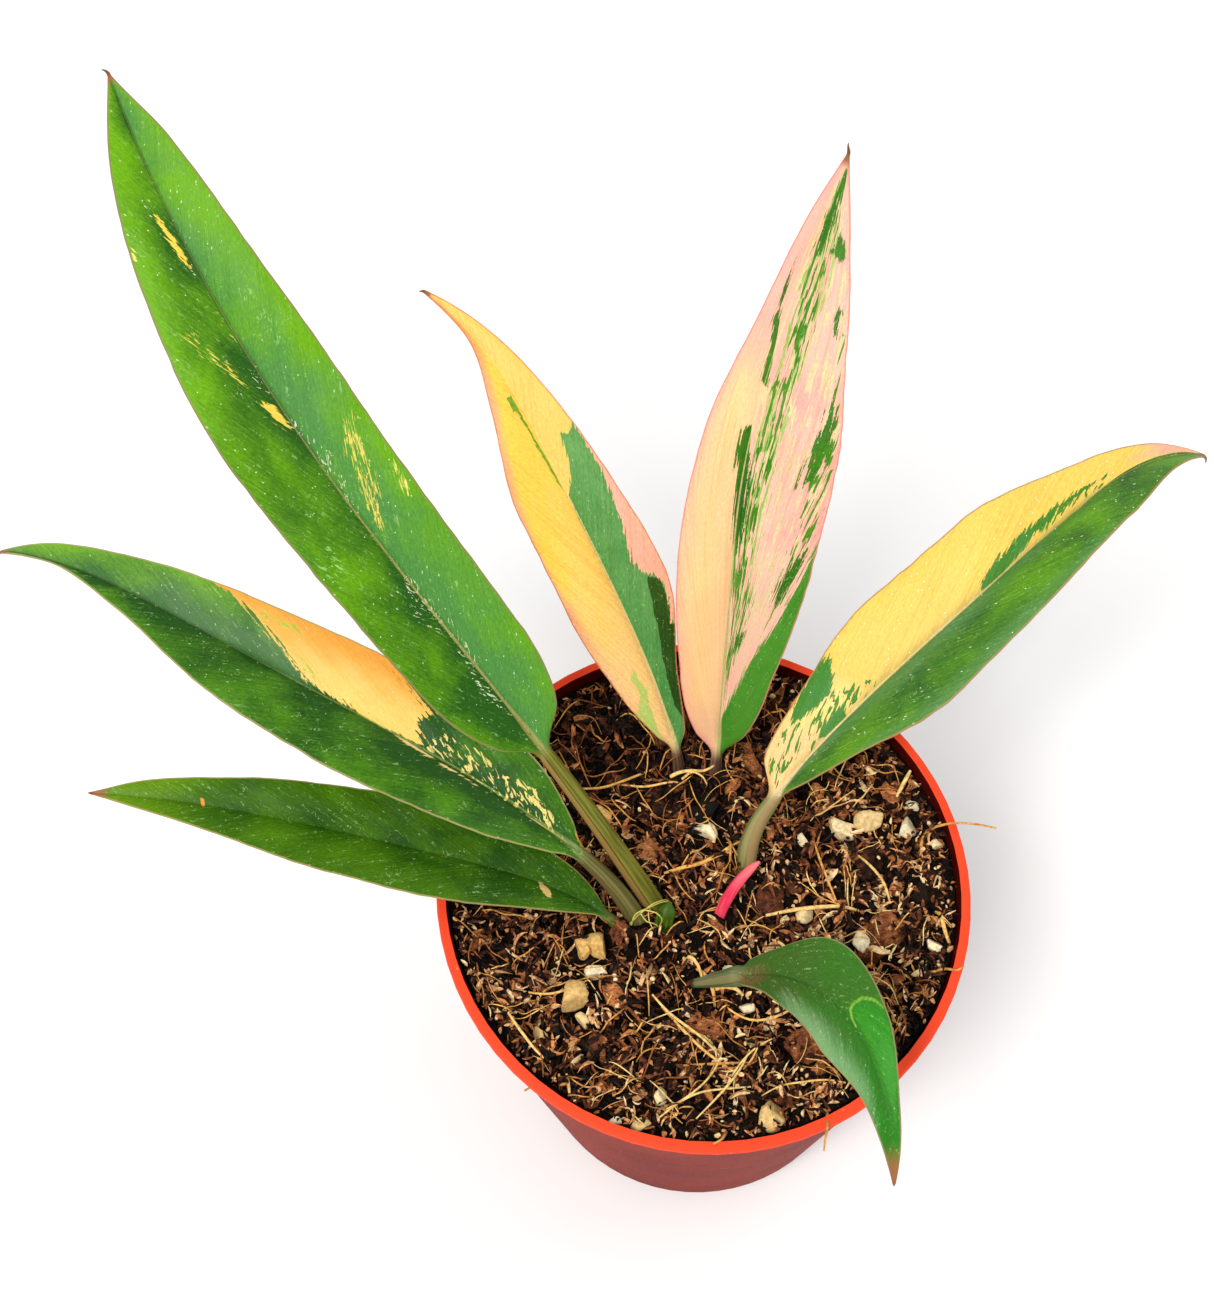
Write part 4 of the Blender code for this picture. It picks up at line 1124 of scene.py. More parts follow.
def ring_faces(rings, sides):
    """Triangles between rings of points, each ring with this many sides."""
    faces = []
    for ring in range(rings - 1):
        for k in range(sides):
            a, b = ring * sides + k, ring * sides + (k + 1) % sides
            faces += [(a, b, b + sides), (a, b + sides, a + sides)]
    return faces


def tube_points(path, radii, sides):
    """Points and faces of a closed round tube along a path."""
    path = np.asarray(path, float)
    tangent = np.gradient(path, axis=0)
    tangent /= np.linalg.norm(tangent, axis=1)[:, None]
    across = np.cross(tangent, (0.13, 0.21, 0.97))
    across /= np.linalg.norm(across, axis=1)[:, None]
    normal = np.cross(across, tangent)
    turns = np.arange(sides) * math.tau / sides
    cosines, sines = np.cos(turns)[None, :, None], np.sin(turns)[None, :, None]
    circle = cosines * across[:, None, :] + sines * normal[:, None, :]
    points = (path[:, None, :] + circle * np.asarray(radii)[:, None, None]).reshape(-1, 3)
    rings = len(path)
    faces = ring_faces(rings, sides)
    ends = len(points)
    points = np.vstack([points, path[0], path[-1]])
    for k in range(sides):
        faces.append((ends, (k + 1) % sides, k))
        faces.append((ends + 1, (rings - 1) * sides + k, (rings - 1) * sides + (k + 1) % sides))
    return points, np.array(faces)


def fibre_path(draw, top, place, length, heading, bend, lift, rings=11):
    """A curved path that lies on the soil, arching up a little between its ends."""
    x, y = place
    heading = math.radians(heading)
    step = length / (rings - 1)
    path = []
    for k in range(rings):
        share = k / (rings - 1)
        arch = lift * 4 * share * (1 - share)
        if not inside_pot(x, y, 0.8):
            break
        path.append((x, y, float(top.at(x, y)) + 0.1 + arch - 0.5 * (abs(2 * share - 1) > 0.85)))
        heading += math.radians(bend) / rings + draw.gauss(0, 0.08)
        x += step * math.cos(heading)
        y += step * math.sin(heading)
    return path


def smoothed(path, times):
    path = np.array(path, float)
    for _ in range(times):
        path[1:-1] = (path[:-2] + 2 * path[1:-1] + path[2:]) / 4
    return path


def soil_material():
    s = Shader("soil bed")
    place = s.place()
    coarse = s.noise(place, 0.35, detail=6.0, roughness=0.7)
    fine = s.noise(place, 2.2, detail=4.0, roughness=0.7)
    # The near-black is partly the soil's own colour and partly painted shade in the gaps between the pieces;
    # the pale flecks are painted highlights.
    colour = s.mix(s.ramp(coarse, 0.35, 0.7), visible((6, 4, 3)), visible((32, 19, 12)))
    colour = s.paint(colour, s.ramp(fine, 0.58, 0.72, 0.0, 0.6), (140, 92, 52))
    return s.finish(colour, fine, (0.75, 0.98), 0.12, s.add(s.times(coarse, 2.0), fine), 0.9, 0.6)


def toned_material(name, stops, roughness=0.8, grain=(0.5, 0.5, 0.5), contrast=0.25, bump=0.25):
    """A material whose colour goes by each piece's tone, with grain."""
    s = Shader(name)
    place = s.place()
    stretch = s.node("Mapping", Vector=place, Scale=grain)
    fine = s.noise(stretch.outputs[0], 2.0, detail=5.0, roughness=0.7)
    broad = s.noise(place, 0.5, detail=2.0)
    ramp = s.node("ValToRGB", Fac=s.add(s.attribute("tone"), s.swing(broad, contrast)))
    elements = ramp.color_ramp.elements
    while len(elements) < len(stops):
        elements.new(0.5)
    for element, (position, colour) in zip(elements, stops):
        element.position = position
        element.color = visible(colour)
    colour = s.shade(ramp.outputs[0], s.ramp(fine, 0.3, 0.7, 1 - 1.6 * contrast, 1 + contrast))
    rough = (roughness - 0.1, min(1.0, roughness + 0.15))
    return s.finish(colour, fine, rough, 0.18, fine, 0.6, bump)


BED_RINGS = 80
BED_SEGMENTS = 200
BED_DEPTH = 14.0
BED_TAPER = 3.0
BED_GRAIN = 2.4
BED_ROUGHNESS = 0.9
# The bed lies this much under the model's soil, and rises again from a share of the radius on to the wall.
BED_DROP = 1.4
EDGE_START = 0.86
EDGE_RISE = 2.2
# The soil stands at least this high at the wall, and this slope lower further in.
WALL_LEVEL = 97.8
WALL_SLOPE = 1.3
# Where the soil is heaped against the stalks: place, reach and rise.
MOUNDS = (
    (0.5, 29.5, 9.0, 4.6), (-17.0, -8.2, 5.0, 2.6), (-11.0, -4.0, 4.5, 1.8), (3.6, -6.0, 3.5, 1.6),
    (9.5, 6.5, 4.0, 1.2),
)


def build_bed(top):
    """The soil's top with fine bumps, and a skirt and bottom below it."""
    rim = wall_radius(SOIL_EDGE) - WALL - GAP
    turns = [math.tau * k / BED_SEGMENTS for k in range(BED_SEGMENTS)]
    points = [(0.0, 0.0, float(top.at(0.0, 0.0)))]
    for ring in range(1, BED_RINGS + 1):
        radius = rim * ring / BED_RINGS
        for turn in turns:
            x, y = radius * math.cos(turn), radius * math.sin(turn)
            factor = oval_factor(x, y, SOIL_EDGE)
            bump = BED_ROUGHNESS * noise.fractal((x / BED_GRAIN, y / BED_GRAIN, 5.0), 0.8, 2.2, 3)
            points.append((x * factor, y * factor, float(top.at(x * factor, y * factor)) + bump))
    low = rim - BED_TAPER
    bottom = SOIL_LEVEL - BED_DEPTH
    points += [(low * math.cos(turn), low * math.sin(turn), bottom) for turn in turns]
    points.append((0.0, 0.0, bottom))
    faces = []
    for k in range(BED_SEGMENTS):
        after = (k + 1) % BED_SEGMENTS
        faces.append((0, 1 + k, 1 + after))
        for ring in range(BED_RINGS):
            a, b = 1 + ring * BED_SEGMENTS + k, 1 + ring * BED_SEGMENTS + after
            faces += [(a, a + BED_SEGMENTS, b + BED_SEGMENTS), (a, b + BED_SEGMENTS, b)]
        last = 1 + BED_RINGS * BED_SEGMENTS
        faces.append((len(points) - 1, last + after, last + k))
    mesh = new_mesh("soil_bed", points, faces)
    mesh.shade_smooth()
    piece = add_piece("soil_bed", mesh, soil_material())
    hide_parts("soil")


# Colours of the loose pieces by their tone. The palest colours of the bark, crumbs and fibres are partly
# their own and partly painted highlights, and the darkest partly their own and partly painted shade.
CHIP_STOPS = (
    (0.0, (8, 5, 4)), (0.28, (42, 22, 13)), (0.5, (126, 68, 38)), (0.72, (216, 138, 80)),
    (1.0, (255, 220, 162)),
)
CRUMB_STOPS = ((0.0, (9, 6, 5)), (0.42, (68, 36, 21)), (0.7, (174, 106, 60)), (1.0, (254, 214, 152)))
FIBRE_STOPS = ((0.0, (80, 46, 24)), (0.32, (166, 98, 48)), (0.65, (234, 172, 88)), (1.0, (255, 224, 146)))
YOUNG_STOPS = ((0.0, (150, 140, 50)), (1.0, (222, 214, 110)))
PERLITE_STOPS = ((0.0, (214, 164, 84)), (0.5, (240, 208, 146)), (1.0, (248, 234, 196)))

# Perlite grains where the photo shows them: place on the soil, half size and tone.
PERLITE = (
    (33.1, 15.0, 3.4, 0.7), (38.8, 15.6, 3.2, 0.45), (1.7, 15.2, 2.8, 0.9), (47.5, 14.1, 2.4, 0.9),
    (49.0, 18.5, 1.5, 0.9), (34.0, -14.1, 2.3, 0.95), (49.9, -16.1, 1.8, 0.9), (-23.5, -11.7, 3.2, 0.15),
    (-27.0, -12.6, 2.4, 0.1), (-29.3, -24.3, 3.9, 0.2), (-24.1, -17.6, 2.3, 0.95), (11.4, -52.8, 3.4, 0.3),
    (-11.4, -46.9, 2.0, 0.7), (-21.7, 20.2, 2.8, 0.1), (5.7, -18.2, 2.0, 0.95), (22.7, -6.3, 2.0, 0.6),
    (24.0, 12.5, 1.6, 0.8), (-15.5, -54.3, 1.9, 0.35), (-21.0, -53.3, 1.3, 0.9), (-36.7, -32.6, 2.2, 0.3),
    (8.5, -27.0, 1.6, 0.9), (-27.5, -29.5, 1.7, 0.5), (53.3, 7.6, 1.6, 0.7),
)
# Large lumps of bark where the photo shows them: place, half sizes and tone.
LUMPS = (
    (1.6, 19.8, (5.0, 3.6, 3.0), 0.02), (6.0, 27.0, (4.0, 2.6, 2.2), 0.04),
    (38.3, 5.3, (5.0, 4.4, 2.6), 0.3), (39.9, -11.7, (6.4, 5.2, 3.2), 0.55),
    (16.3, -2.4, (5.0, 4.0, 2.4), 0.38), (-11.1, 10.9, (3.6, 2.8, 1.8), 0.72),
    (36.8, -16.4, (4.6, 3.6, 2.2), 0.5), (-21.0, -23.4, (4.6, 2.8, 1.8), 0.66),
    (20.0, -37.5, (6.4, 5.0, 2.6), 0.5), (-2.0, -31.0, (6.0, 3.4, 1.6), 0.62),
    (28.0, 24.0, (5.0, 1.8, 1.2), 0.7), (43.5, 22.5, (4.6, 2.2, 1.4), 0.62),
    (-8.0, 22.0, (4.8, 2.2, 1.4), 0.3), (14.0, 32.0, (5.6, 2.0, 1.4), 0.6),
    (-4.6, -52.2, (4.2, 3.0, 2.0), 0.15), (49.5, -3.4, (3.6, 2.6, 2.0), 0.2),
    (12.8, 19.5, (4.2, 1.8, 1.4), 0.66), (30.5, 31.0, (4.0, 1.6, 1.2), 0.7),
    (-5.6, -7.4, (2.2, 1.8, 2.4), 0.2), (-7.4, -9.8, (2.6, 1.5, 1.5), 0.4),
    (-18.8, -9.8, (3.0, 2.0, 2.8), 0.5), (-15.0, -10.0, (2.4, 1.6, 1.5), 0.3),
    (3.0, -8.0, (2.4, 1.5, 1.4), 0.55), (-4.0, 25.8, (3.0, 1.8, 1.8), 0.35),
    (8.4, 25.2, (3.2, 1.8, 1.6), 0.6), (8.6, 4.6, (2.6, 1.6, 1.4), 0.6),
)
# Straws and long fibres: start on the soil, length, heading, bend, lift, half thickness and tone.
STRAWS = (
    (13.9, -5.6, 21.0, 3, 0, 1.6, 0.5, 0.85), (-8.0, 5.4, 16.0, -8, 10, 0.8, 0.5, 0.6),
    (4.0, 8.6, 12.0, 24, 12, 0.8, 0.3, 0.8), (-6.0, -40.6, 15.0, -3, -4, 0.6, 0.32, 0.55),
    (-12.1, -53.3, 22.0, 42, -18, 1.6, 0.26, 0.9), (-10.6, -51.2, 20.0, 30, 26, 1.5, 0.24, 0.85),
    (-4.1, -53.3, 22.0, 48, 14, 1.8, 0.26, 0.92), (1.9, -46.8, 17.0, 52, -20, 1.6, 0.22, 0.9),
    (9.8, -48.0, 18.0, 28, -30, 1.5, 0.24, 0.8), (4.0, -28.0, 26.0, -60, 120, 1.4, 0.32, 0.75),
    (-10.0, -26.0, 22.0, -70, 60, 1.2, 0.36, 0.7), (-12.0, -24.5, 20.0, -48, -10, 1.4, 0.34, 0.86),
    (27.5, -47.8, 18.0, 60, 30, 1.8, 0.3, 0.85), (26.0, 13.0, 17.0, -88, 12, 1.2, 0.3, 0.6),
    (36.0, 8.0, 14.0, -50, -20, 1.2, 0.36, 0.8), (51.4, -7.6, 10.0, -84, 0, 0.9, 0.5, 0.75),
    (-28.0, 26.0, 20.0, 8, 8, 1.0, 0.34, 0.7), (-18.0, 28.0, 16.0, -20, 20, 1.0, 0.3, 0.8),
    (45.5, 20.4, 15.0, 60, 10, 1.6, 0.5, 0.9), (31.0, 28.0, 16.0, 62, -14, 1.4, 0.6, 0.85),
    (-39.9, -22.8, 16.0, -30, 40, 1.4, 0.3, 0.75), (-43.8, -27.4, 15.0, -70, 30, 1.6, 0.34, 0.85),
    (-30.9, -42.3, 16.0, -76, 30, 1.4, 0.4, 0.8), (-2.0, -18.0, 9.0, -40, -60, 2.4, 0.5, 0.7),
    (15.0, -12.0, 13.0, -62, 30, 2.0, 0.36, 0.95), (6.5, 14.0, 9.0, -80, 8, 1.6, 0.3, 0.5),
)
# Dry roots that hang over the rim, as points in the model, and their half thickness.
ROOT_HALF = 0.42
RIM_ROOTS = (
    ((49.4, 4.6, 95.5), (49.7, 8.2, 98.0), (51.3, 10.3, 99.4), (53.7, 10.9, 100.4), (57.3, 11.1, 101.1),
     (61.5, 10.7, 101.0), (66.3, 9.8, 100.4)),
    ((23.5, -48.5, 94.5), (23.2, -53.0, 97.6), (22.6, -57.3, 100.8), (22.0, -59.6, 100.4),
     (21.8, -61.0, 98.0)),
    ((-36.8, -43.6, 95.6), (-38.4, -45.9, 99.8), (-39.6, -46.9, 100.7)),
    ((47.1, -22.8, 96.5), (50.4, -22.8, 99.4), (53.4, -23.7, 101.0), (55.0, -22.8, 100.9)),
    ((2.0, -56.0, 96.5), (1.0, -58.4, 100.4), (-1.0, -59.6, 100.5)),
)
# Fine fibres round the crown, as points in the model, and their half thickness.
CROWN_HALF = 0.2
CROWN_FIBRES = (
    ((-16.0, -7.7, 94.0), (-15.1, -6.6, 97.0), (-12.6, -5.9, 98.5), (-9.5, -4.4, 98.2), (-7.5, -3.6, 96.5),
     (-7.0, -3.4, 94.0)),
    ((-16.3, -7.4, 94.0), (-13.5, -6.4, 98.0), (-11.1, -5.0, 99.0), (-8.4, -3.7, 98.0), (-6.8, -3.2, 95.0)),
    ((-13.1, -5.9, 98.0), (-10.5, -6.8, 98.2), (-9.2, -8.0, 97.0), (-9.9, -8.6, 94.5)),
    ((-14.0, -6.6, 98.0), (-12.3, -8.5, 97.2), (-10.5, -8.5, 95.5), (-9.6, -8.4, 93.0)),
)
# Dry sheaths by the stalks: points in the model, half thickness and tone.
SHEATHS = (
    (((-5.6, 27.6, 96.6), (-3.4, 27.8, 98.2), (-1.2, 27.9, 98.6), (1.4, 28.0, 98.0), (3.9, 29.0, 98.0),
      (4.8, 30.2, 96.6)), 0.5, 0.85),
    (((-3.0, 26.8, 96.8), (-0.6, 27.4, 98.8), (1.6, 26.4, 98.2), (2.6, 25.0, 96.8)), 0.35, 0.8),
    (((1.9, -22.9, 93.4), (3.8, -23.2, 95.0), (5.8, -23.8, 95.2), (7.6, -25.0, 94.0)), 0.75, 0.85),
    (((-4.6, -15.8, 93.4), (-3.2, -16.4, 95.4), (-1.8, -18.4, 95.6), (-1.0, -20.8, 94.4)), 0.55, 0.8),
)

SOIL_SEED = 5
# Families of stones: how many, subdivisions, cuts and roughness.
STONES = dict(
    angular=(12, 2, 9, 0.22), large=(6, 4, 5, 0.34), small=(14, 2, 8, 0.2), tiny=(8, 1, 6, 0.10),
    grains=(6, 3, 4, 0.13),
)
# Kinds laid at random. Kinds with stones are lumps, whose widths and heights are shares of the length, but a
# single height is in mm. Kinds without are splinters, whose half sizes are all in mm. The margin to the wall
# and to the listed lumps is a length and a share of the piece's length, and the foot margin keeps the
# pieces off the stalks. A piece is sunk by a share of its height. Its tone takes the soil's painted shade and
# painted light, and its patches, unless "shaded" is False.
BETA, EVEN = random.Random.betavariate, random.Random.uniform
LARGE_CHIPS = dict(
    heap="bark", stones="angular", count=460, lengths=(1.8, 4.4), widths=(0.3, 0.7), heights=(0.15, 0.45),
    margin=(0.0, 0.9), foot_margin=6.5, tilt=24, sunk=0.5, tones=(BETA, 1.1, 1.9),
)
SMALL_CHIPS = dict(
    heap="bark", stones="small", count=900, lengths=(0.9, 2.6), widths=(0.25, 0.7), heights=(0.15, 0.5),
    margin=(0.0, 0.9), foot_margin=3.4, tilt=30, sunk=0.4, tones=(BETA, 1.0, 1.7),
)
FLAKES = dict(
    heap="flakes", stones="small", count=120, lengths=(1.6, 4.0), widths=(0.2, 0.45), height=0.25,
    margin=(0.0, 0.9), foot_margin=5.5, off_lumps=False, tilt=24, sunk=0.2, tones=(EVEN, 0.35, 1.0),
)
SPLINTERS = dict(
    heap="splinters", count=4200, lengths=(0.7, 2.5), widths=(0.2, 0.6), heights=(0.1, 0.3),
    margin=(0.0, 0.8), foot_margin=2.4, tilt=26, sunk=0.2, tones=(BETA, 0.85, 1.3),
)
CRUMBS = dict(
    heap="crumbs", stones="tiny", count=2200, lengths=(0.35, 0.9), widths=(0.5, 0.9), heights=(0.4, 0.8),
    margin=(0.7, 0.0), foot_margin=2.2, off_lumps=False, tilt=30, sunk=0.3, tones=(BETA, 1.0, 1.5),
)
# Short splinters along the wall, within a belt.
EDGE_SPLINTERS = dict(
    heap="splinters", count=700, lengths=(0.4, 1.3), widths=(0.2, 0.5), heights=(0.12, 0.35),
    margin=(0.0, 0.9), at_edge=True, tilt=26, sunk=0.2, tones=(BETA, 1.0, 1.5), shaded=False,
)
EDGE_BELT = 3.5
PERLITE_BITS = dict(
    heap="perlite", stones="tiny", count=90, lengths=(0.25, 0.9), widths=(0.7, 0.9), heights=(0.6, 0.8),
    margin=(2.0, 0.0), foot_margin=4.0, tilt=30, sunk=0.2, tones=(EVEN, 0.2, 1.0), shaded=False,
)
# The listed lumps and grains, and the scale and proportions of the grains.
PLACED_LUMP = dict(tilt=12, sunk=0.3)
PLACED_GRAIN = dict(tilt=15, sunk=0.2)
GRAIN_SCALE = 1.14
GRAIN_WIDTHS = (0.75, 0.95)
GRAIN_HEIGHTS = (0.65, 0.8)
# A fibre that the wall cuts short is left out when it has fewer rings.
FEWEST_RINGS = 5
FIBRES = dict(
    count=480, lengths=(2.5, 11.0), bend=45, lifts=(0.1, 1.3), halves=(0.08, 0.21), margin=1.5,
    foot_margin=3.2, tones=(BETA, 2.0, 1.6),
)
# Painted shade and painted light on the soil's pieces: place, reach and gain of the tone. The first
# darkens the back as painted shade under the leaves, the second pales the right as painted light, and the
# third pales the front.
SOIL_SHADE_AND_LIGHT = ((-14.0, 40.0, 22.0, -0.42), (43.0, -3.0, 16.0, 0.26), (15.0, -42.0, 18.0, 0.2))
# The tones rise and fall by this share in patches of about this size.
PATCH_CONTRAST = 0.55
PATCH_SIZE = 7.0
# Each heap of loose pieces, with its piece's name, slot, smooth angle and look.
SOIL_PIECES = (
    ("bark", "bark_chips", "potting_soil", 35,
     dict(stops=CHIP_STOPS, roughness=0.62, grain=(0.5, 1.6, 1.0), contrast=0.5, bump=0.6)),
    ("splinters", "bark_splinters", "potting_soil", 35,
     dict(stops=CHIP_STOPS, roughness=0.6, contrast=0.35)),
    ("crumbs", "soil_crumbs", "potting_soil", 35,
     dict(stops=CRUMB_STOPS, roughness=0.9, contrast=0.3)),
    ("flakes", "bark_flakes", "potting_soil", 35,
     dict(stops=CHIP_STOPS, roughness=0.7, grain=(0.4, 2.0, 1.0), contrast=0.25)),
    ("perlite", "perlite", "potting_soil", 60,
     dict(stops=PERLITE_STOPS, roughness=0.85, contrast=0.2, bump=0.3)),
    ("crown fibres", "crown_fibres", "stem", 70,
     dict(stops=YOUNG_STOPS, roughness=0.5, contrast=0.2, bump=0.1)),
    ("fibres", "coir_fibres", "potting_soil", 70,
     dict(stops=FIBRE_STOPS, roughness=0.6, contrast=0.25, bump=0.1)),
)


def tone_at(tone, place):
    """A piece's tone at this place on the soil, with painted shade and painted light, and random patches."""
    x, y = place
    for cx, cy, reach, gain in SOIL_SHADE_AND_LIGHT:
        tone *= 1 + gain * math.exp(-((math.dist(place, (cx, cy)) / reach) ** 2))
    return tone * (1 + PATCH_CONTRAST * noise.noise((x / PATCH_SIZE, y / PATCH_SIZE, 3.0)))


class LooseSoil:
    """Bark, splinters, crumbs, flakes, fibres and perlite laid on the bed, each kind on its own heap."""

    def __init__(self, top):
        self.top = top
        self.draw = random.Random(SOIL_SEED)
        self.stones = {}
        for name, (count, *cut) in STONES.items():
            self.stones[name] = [stone_shape(self.draw, *cut) for _ in range(count)]
        self.heaps = {heap: Gatherer() for heap, *_ in SOIL_PIECES}

    def lay(self, heap, shape, place, tone, tilt, sunk):
        """One piece laid on the soil, sunk by a share of its height."""
        points, faces = shape
        points = points @ turned_by(self.draw, tilt).T
        x, y = place
        low = points[:, 2].min()
        tall = points[:, 2].max() - low
        points = points + (x, y, self.top.at(x, y) - low - sunk * tall)
        self.heaps[heap].put(points, faces, tone)
        self.top.raise_to(points)

    def lump(self, stones, *size):
        """One of the stones, drawn to three half sizes."""
        points, faces = self.stones[stones][self.draw.randrange(len(self.stones[stones]))]
        return points * size, faces

    def shape(self, kind, length):
        uniform = self.draw.uniform
        if "stones" not in kind:
            return strip(self.draw, length, uniform(*kind["widths"]), uniform(*kind["heights"]))
        width = length * uniform(*kind["widths"])
        height = kind["height"] if "height" in kind else length * uniform(*kind["heights"])
        return self.lump(kind["stones"], length, width, height)

    def place(self, kind, length):
        base, share = kind["margin"]
        margin = base + share * length
        if "at_edge" in kind:
            return edge_place(self.draw, margin)
        return random_place(self.draw, margin, kind["foot_margin"], kind.get("off_lumps", True))

    def tone(self, kind, place):
        spread, *settings = kind["tones"]
        tone = spread(self.draw, *settings)
        return tone_at(tone, place) if kind.get("shaded", True) else tone

    def scatter(self, kind):
        for _ in range(kind["count"]):
            length = self.draw.uniform(*kind["lengths"])
            shape = self.shape(kind, length)
            place = self.place(kind, length)
            self.lay(kind["heap"], shape, place, self.tone(kind, place), kind["tilt"], kind["sunk"])

    def placed(self):
        """The large lumps and perlite grains that the photo shows, each at its place."""
        uniform = self.draw.uniform
        for x, y, size, tone in LUMPS:
            self.lay("bark", self.lump("large", *size), (x, y), tone, **PLACED_LUMP)
        for x, y, size, tone in PERLITE:
            size *= GRAIN_SCALE
            shape = self.lump("grains", size, size * uniform(*GRAIN_WIDTHS), size * uniform(*GRAIN_HEIGHTS))
            self.lay("perlite", shape, (x, y), tone, **PLACED_GRAIN)

    def fibre(self, path, half, ends, start, smoothing, sides, tone):
        """A fibre along a path, thinner at its ends: a sine from the start angle on thickens its middle."""
        radii = half * (ends + (1 - ends) * np.sin(np.linspace(start, math.pi - start, len(path))))
        self.heaps["fibres"].put(*tube_points(smoothed(path, smoothing), radii, sides), tone)

    def straws(self):
        for x, y, length, heading, bend, lift, half, tone in STRAWS:
            path = fibre_path(self.draw, self.top, (x, y), length, heading, bend, lift, rings=15)
            if len(path) >= FEWEST_RINGS:
                self.fibre(path, half, 0.55, 0.3, 9, 6, tone)

    def fibres(self):
        draw = self.draw
        for _ in range(FIBRES["count"]):
            place = random_place(draw, FIBRES["margin"], FIBRES["foot_margin"], False)
            length = draw.uniform(*FIBRES["lengths"])
            curve = (draw.uniform(0, 360), draw.gauss(0, FIBRES["bend"]), draw.uniform(*FIBRES["lifts"]))
            path = fibre_path(draw, self.top, place, length, *curve)
            if len(path) >= FEWEST_RINGS:
                half = draw.uniform(*FIBRES["halves"])
                self.fibre(path, half, 0.45, 0.2, 2, 5, self.tone(FIBRES, place))

    def strands(self):
        """Roots over the rim, fibres round the crown and sheaths by the stalks."""
        strands = [("fibres", points, ROOT_HALF, 0.5) for points in RIM_ROOTS]
        strands += [("crown fibres", points, CROWN_HALF, 0.6) for points in CROWN_FIBRES]
        strands += [("fibres", points, half, tone) for points, half, tone in SHEATHS]
        for heap, points, half, tone in strands:
            path = spline(points, 18)
            radii = np.linspace(half, half * 0.5, len(path))
            self.heaps[heap].put(*tube_points(path, radii, 6), tone)


def build_soil_pieces(top):
    """Lays the kinds one after another, then makes one piece of each heap."""
    soil = LooseSoil(top)
    soil.scatter(LARGE_CHIPS)
    soil.placed()
    for kind in (SMALL_CHIPS, FLAKES, SPLINTERS, CRUMBS, EDGE_SPLINTERS, PERLITE_BITS):
        soil.scatter(kind)
    soil.straws()
    soil.fibres()
    soil.strands()
    for heap, name, slot, smooth_angle, look in SOIL_PIECES:
        soil.heaps[heap].piece(name, toned_material(heap, **look), slot, smooth_angle)


def spline(points, count):
    """Places along a smooth curve through a few points."""
    points = np.array(points, float)
    distance = np.concatenate([[0], np.cumsum(np.linalg.norm(np.diff(points, axis=0), axis=1))])
    at = np.linspace(0, distance[-1], count)
    return np.stack([smooth_curve(distance, points[:, axis], at) for axis in range(3)], -1)


# Pot and stems.


def pot_material():
    """Painted shade on the plastic and its inner face, painted light on the rim, dirt and pale dots."""
    s = Shader("pot plastic")
    place = s.place()
    x, y, height = s.split(place)
    clouds = s.noise(place, 0.05, detail=4.0)
    fine = s.noise(place, 1.4, detail=4.0, roughness=0.7)
    dust = s.noise(place, 0.5, detail=6.0, roughness=0.75)
    colour = s.mix(s.ramp(clouds, 0.3, 0.7), visible(POT_DARK), visible(POT_RED))
    # Painted light: the rim's top is lighter from this height up.
    colour = s.paint(colour, s.ramp(height, 96.9, 97.5), LIT_RIM_RED)
    # Painted shade: faces turned inward, toward the pot's axis, are darker.
    facing = s.node("VectorMath")
    facing.operation = "DOT_PRODUCT"
    s.put(facing.inputs[0], s.node("NewGeometry").outputs["Normal"])
    s.put(facing.inputs[1], s.vector(x, y))
    colour = s.paint(colour, s.ramp(facing.outputs["Value"], -5.0, -20.0), SHADED_INNER_RED)
    dirt = s.times(s.ramp(dust, 0.6, 0.72, 0.0, 0.45), s.ramp(height, 60.0, 96.0, 0.5, 1.0))
    colour = s.paint(colour, dirt, POT_DIRT)
    colour = s.paint(colour, s.specks(place, 0.3, 0.10, 0.06, 0.72, 0.6), POT_DOT)
    s.set("IOR", 1.15)
    return s.finish(colour, fine, (0.42, 0.56), 0.2, s.add(fine, s.times(dust, 0.6)), 0.35, 0.08)


def stem_material(name, dark, light, tip_colour, base_height, tip_height):
    """Strands of two colours that turn into a third one from one height to another."""
    s = Shader(name)
    place = s.place()
    lengthwise = s.vector(s.times(s.attribute("along"), 0.12), s.times(s.attribute("around"), 1.8))
    strands = s.noise(lengthwise, detail=3.0)
    fine = s.noise(place, 1.2, detail=2.0)
    colour = s.mix(s.ramp(strands, 0.38, 0.62), visible(dark), visible(light))
    colour = s.paint(colour, s.ramp(s.split(place)[2], base_height, tip_height), tip_colour)
    return s.finish(colour, fine, (0.4, 0.55), 0.2, strands, 0.4, 0.1)


STEM_RINGS = 26
STEM_SIDES = 20
STEM_SHOULDER = 0.6
# The last rings close in round the tip by these shares.
STEM_END = (0.95, 0.85, 0.65, 0.35)
STEM_TWIST = 0.06


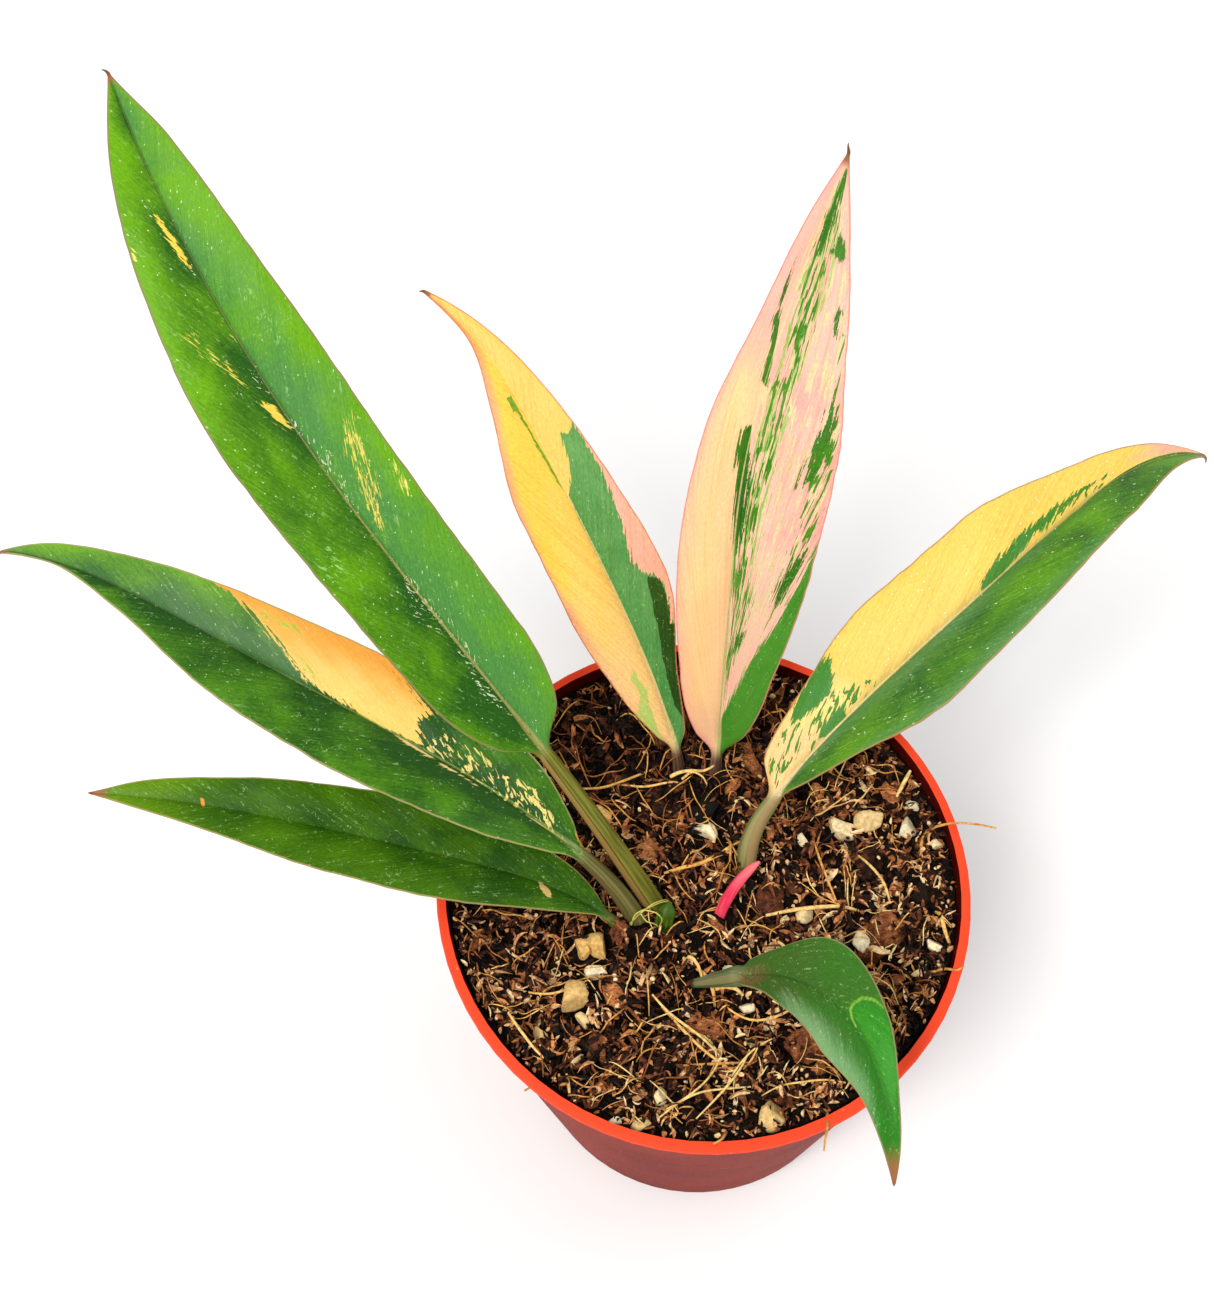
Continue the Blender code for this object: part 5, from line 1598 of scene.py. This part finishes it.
def build_stem(name, piece_name, material):
    """A short stem with three ridges, flatter across than along its first side."""
    stem = STEMS[name]
    ridges, flatten = stem["ridges"], stem["flatten"]
    at = np.linspace(-SINK, stem["length"], STEM_RINGS)
    path = walk(stem["foot"], (0.0, stem["length"]), stem["pitch"], stem["heading"], at)[0]
    places = (-SINK, 0.0, stem["length"] * STEM_SHOULDER, stem["length"])
    radii = np.interp(at, places, stem["radii"])
    radii[-len(STEM_END):] *= STEM_END
    points, faces = tube_points(path, radii, STEM_SIDES)
    for ring in range(STEM_RINGS):
        for k in range(STEM_SIDES):
            index = ring * STEM_SIDES + k
            turn = math.tau * k / STEM_SIDES
            ridge = ridges * math.sin(3 * turn + ring * STEM_TWIST)
            factor = 1 + ridge - flatten * abs(math.sin(turn))
            points[index] = path[ring] + (points[index] - path[ring]) * factor
    turns = np.tile(np.abs(np.linspace(-math.pi, math.pi, STEM_SIDES, endpoint=False)), STEM_RINGS)
    # The two end points come last and carry zeros.
    along = np.append(np.repeat(at, STEM_SIDES), (0.0, 0.0))
    mesh = new_mesh(piece_name, points, faces, dict(along=along, around=np.append(turns, (0.0, 0.0))))
    mesh.shade_smooth()
    piece = add_piece(piece_name, mesh, material)
    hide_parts(name)


# Stage: floor, light and camera, in metres, but the lens in mm.

FLOOR_SIZE = 6.0
CAMERA_PLACE = (-0.0192, -0.1846, 0.5048)
CAMERA_PITCH = 58.78
CAMERA_ROLL = -2.01
CAMERA_LENS = 55.6
LIGHT_TARGET = (0.0, 0.0, 0.1)
SKY_STRENGTH = 0.72


def build_stage():
    bpy.ops.mesh.primitive_plane_add(size=FLOOR_SIZE, location=(0, 0, 0))
    floor = bpy.context.object
    floor.name = "floor"
    s = Shader("floor paint")
    s.set("Base Color", (0.93, 0.93, 0.93, 1.0))
    s.set("Roughness", 0.7)
    floor.data.materials.append(s.material)


def area_light(name, place, size, power, colour):
    data = bpy.data.lights.new(name, "AREA")
    data.size = size
    data.energy = power
    data.color = colour
    light = bpy.data.objects.new(name, data)
    light.location = place
    light.rotation_euler = (Vector(LIGHT_TARGET) - Vector(place)).to_track_quat("-Z", "Y").to_euler()
    bpy.context.scene.collection.objects.link(light)


def build_light():
    world = bpy.data.worlds.new("studio")
    bpy.context.scene.world = world
    world.use_nodes = True
    background = world.node_tree.nodes["Background"]
    background.inputs["Color"].default_value = (1.0, 1.0, 1.0, 1.0)
    background.inputs["Strength"].default_value = SKY_STRENGTH
    area_light("key", place=(-0.8, -1.1, 2.15), size=0.8, power=42.0, colour=(1.0, 0.985, 0.96))
    area_light("fill", place=(1.4, 0.6, 2.0), size=1.6, power=8.0, colour=(0.96, 0.98, 1.0))


def build_camera():
    data = bpy.data.cameras.new("camera")
    data.lens = CAMERA_LENS
    data.sensor_width = 36.0
    camera = bpy.data.objects.new("camera", data)
    pitch, roll = math.radians(CAMERA_PITCH), math.radians(CAMERA_ROLL)
    forward = Vector((0, math.cos(pitch), -math.sin(pitch)))
    right = Vector((1, 0, 0))
    up = right.cross(forward)
    turned_right = right * math.cos(roll) + up * math.sin(roll)
    turned_up = up * math.cos(roll) - right * math.sin(roll)
    basis = np.array([turned_right, turned_up, -forward]).T
    matrix = np.eye(4)
    matrix[:3, :3] = basis
    matrix[:3, 3] = CAMERA_PLACE
    camera.matrix_world = Matrix(matrix.tolist())
    bpy.context.scene.collection.objects.link(camera)
    bpy.context.scene.camera = camera


def main():
    build_camera()
    build_light()
    build_stage()
    for seed, name in enumerate(LEAVES, start=1):
        build_leaf(name, name.removeprefix("leaf_") + "_leaf", seed)
    crown_look = stem_material("crown green", (44, 72, 10), (92, 122, 26), (58, 84, 16), 94, 99)
    build_stem("crown_stub", "crown", crown_look)
    shoot_look = stem_material("shoot pink", (226, 44, 78), (244, 84, 108), (250, 120, 120), 98, 106)
    build_stem("pink_shoot", "new_shoot", shoot_look)
    top = SoilTop()
    build_bed(top)
    build_soil_pieces(top)
    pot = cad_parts["pot"]
    pot.data.materials.clear()
    pot.data.materials.append(pot_material())
    bpy.context.scene.view_settings.view_transform = "Standard"


main()
bpy.context.view_layer.update()
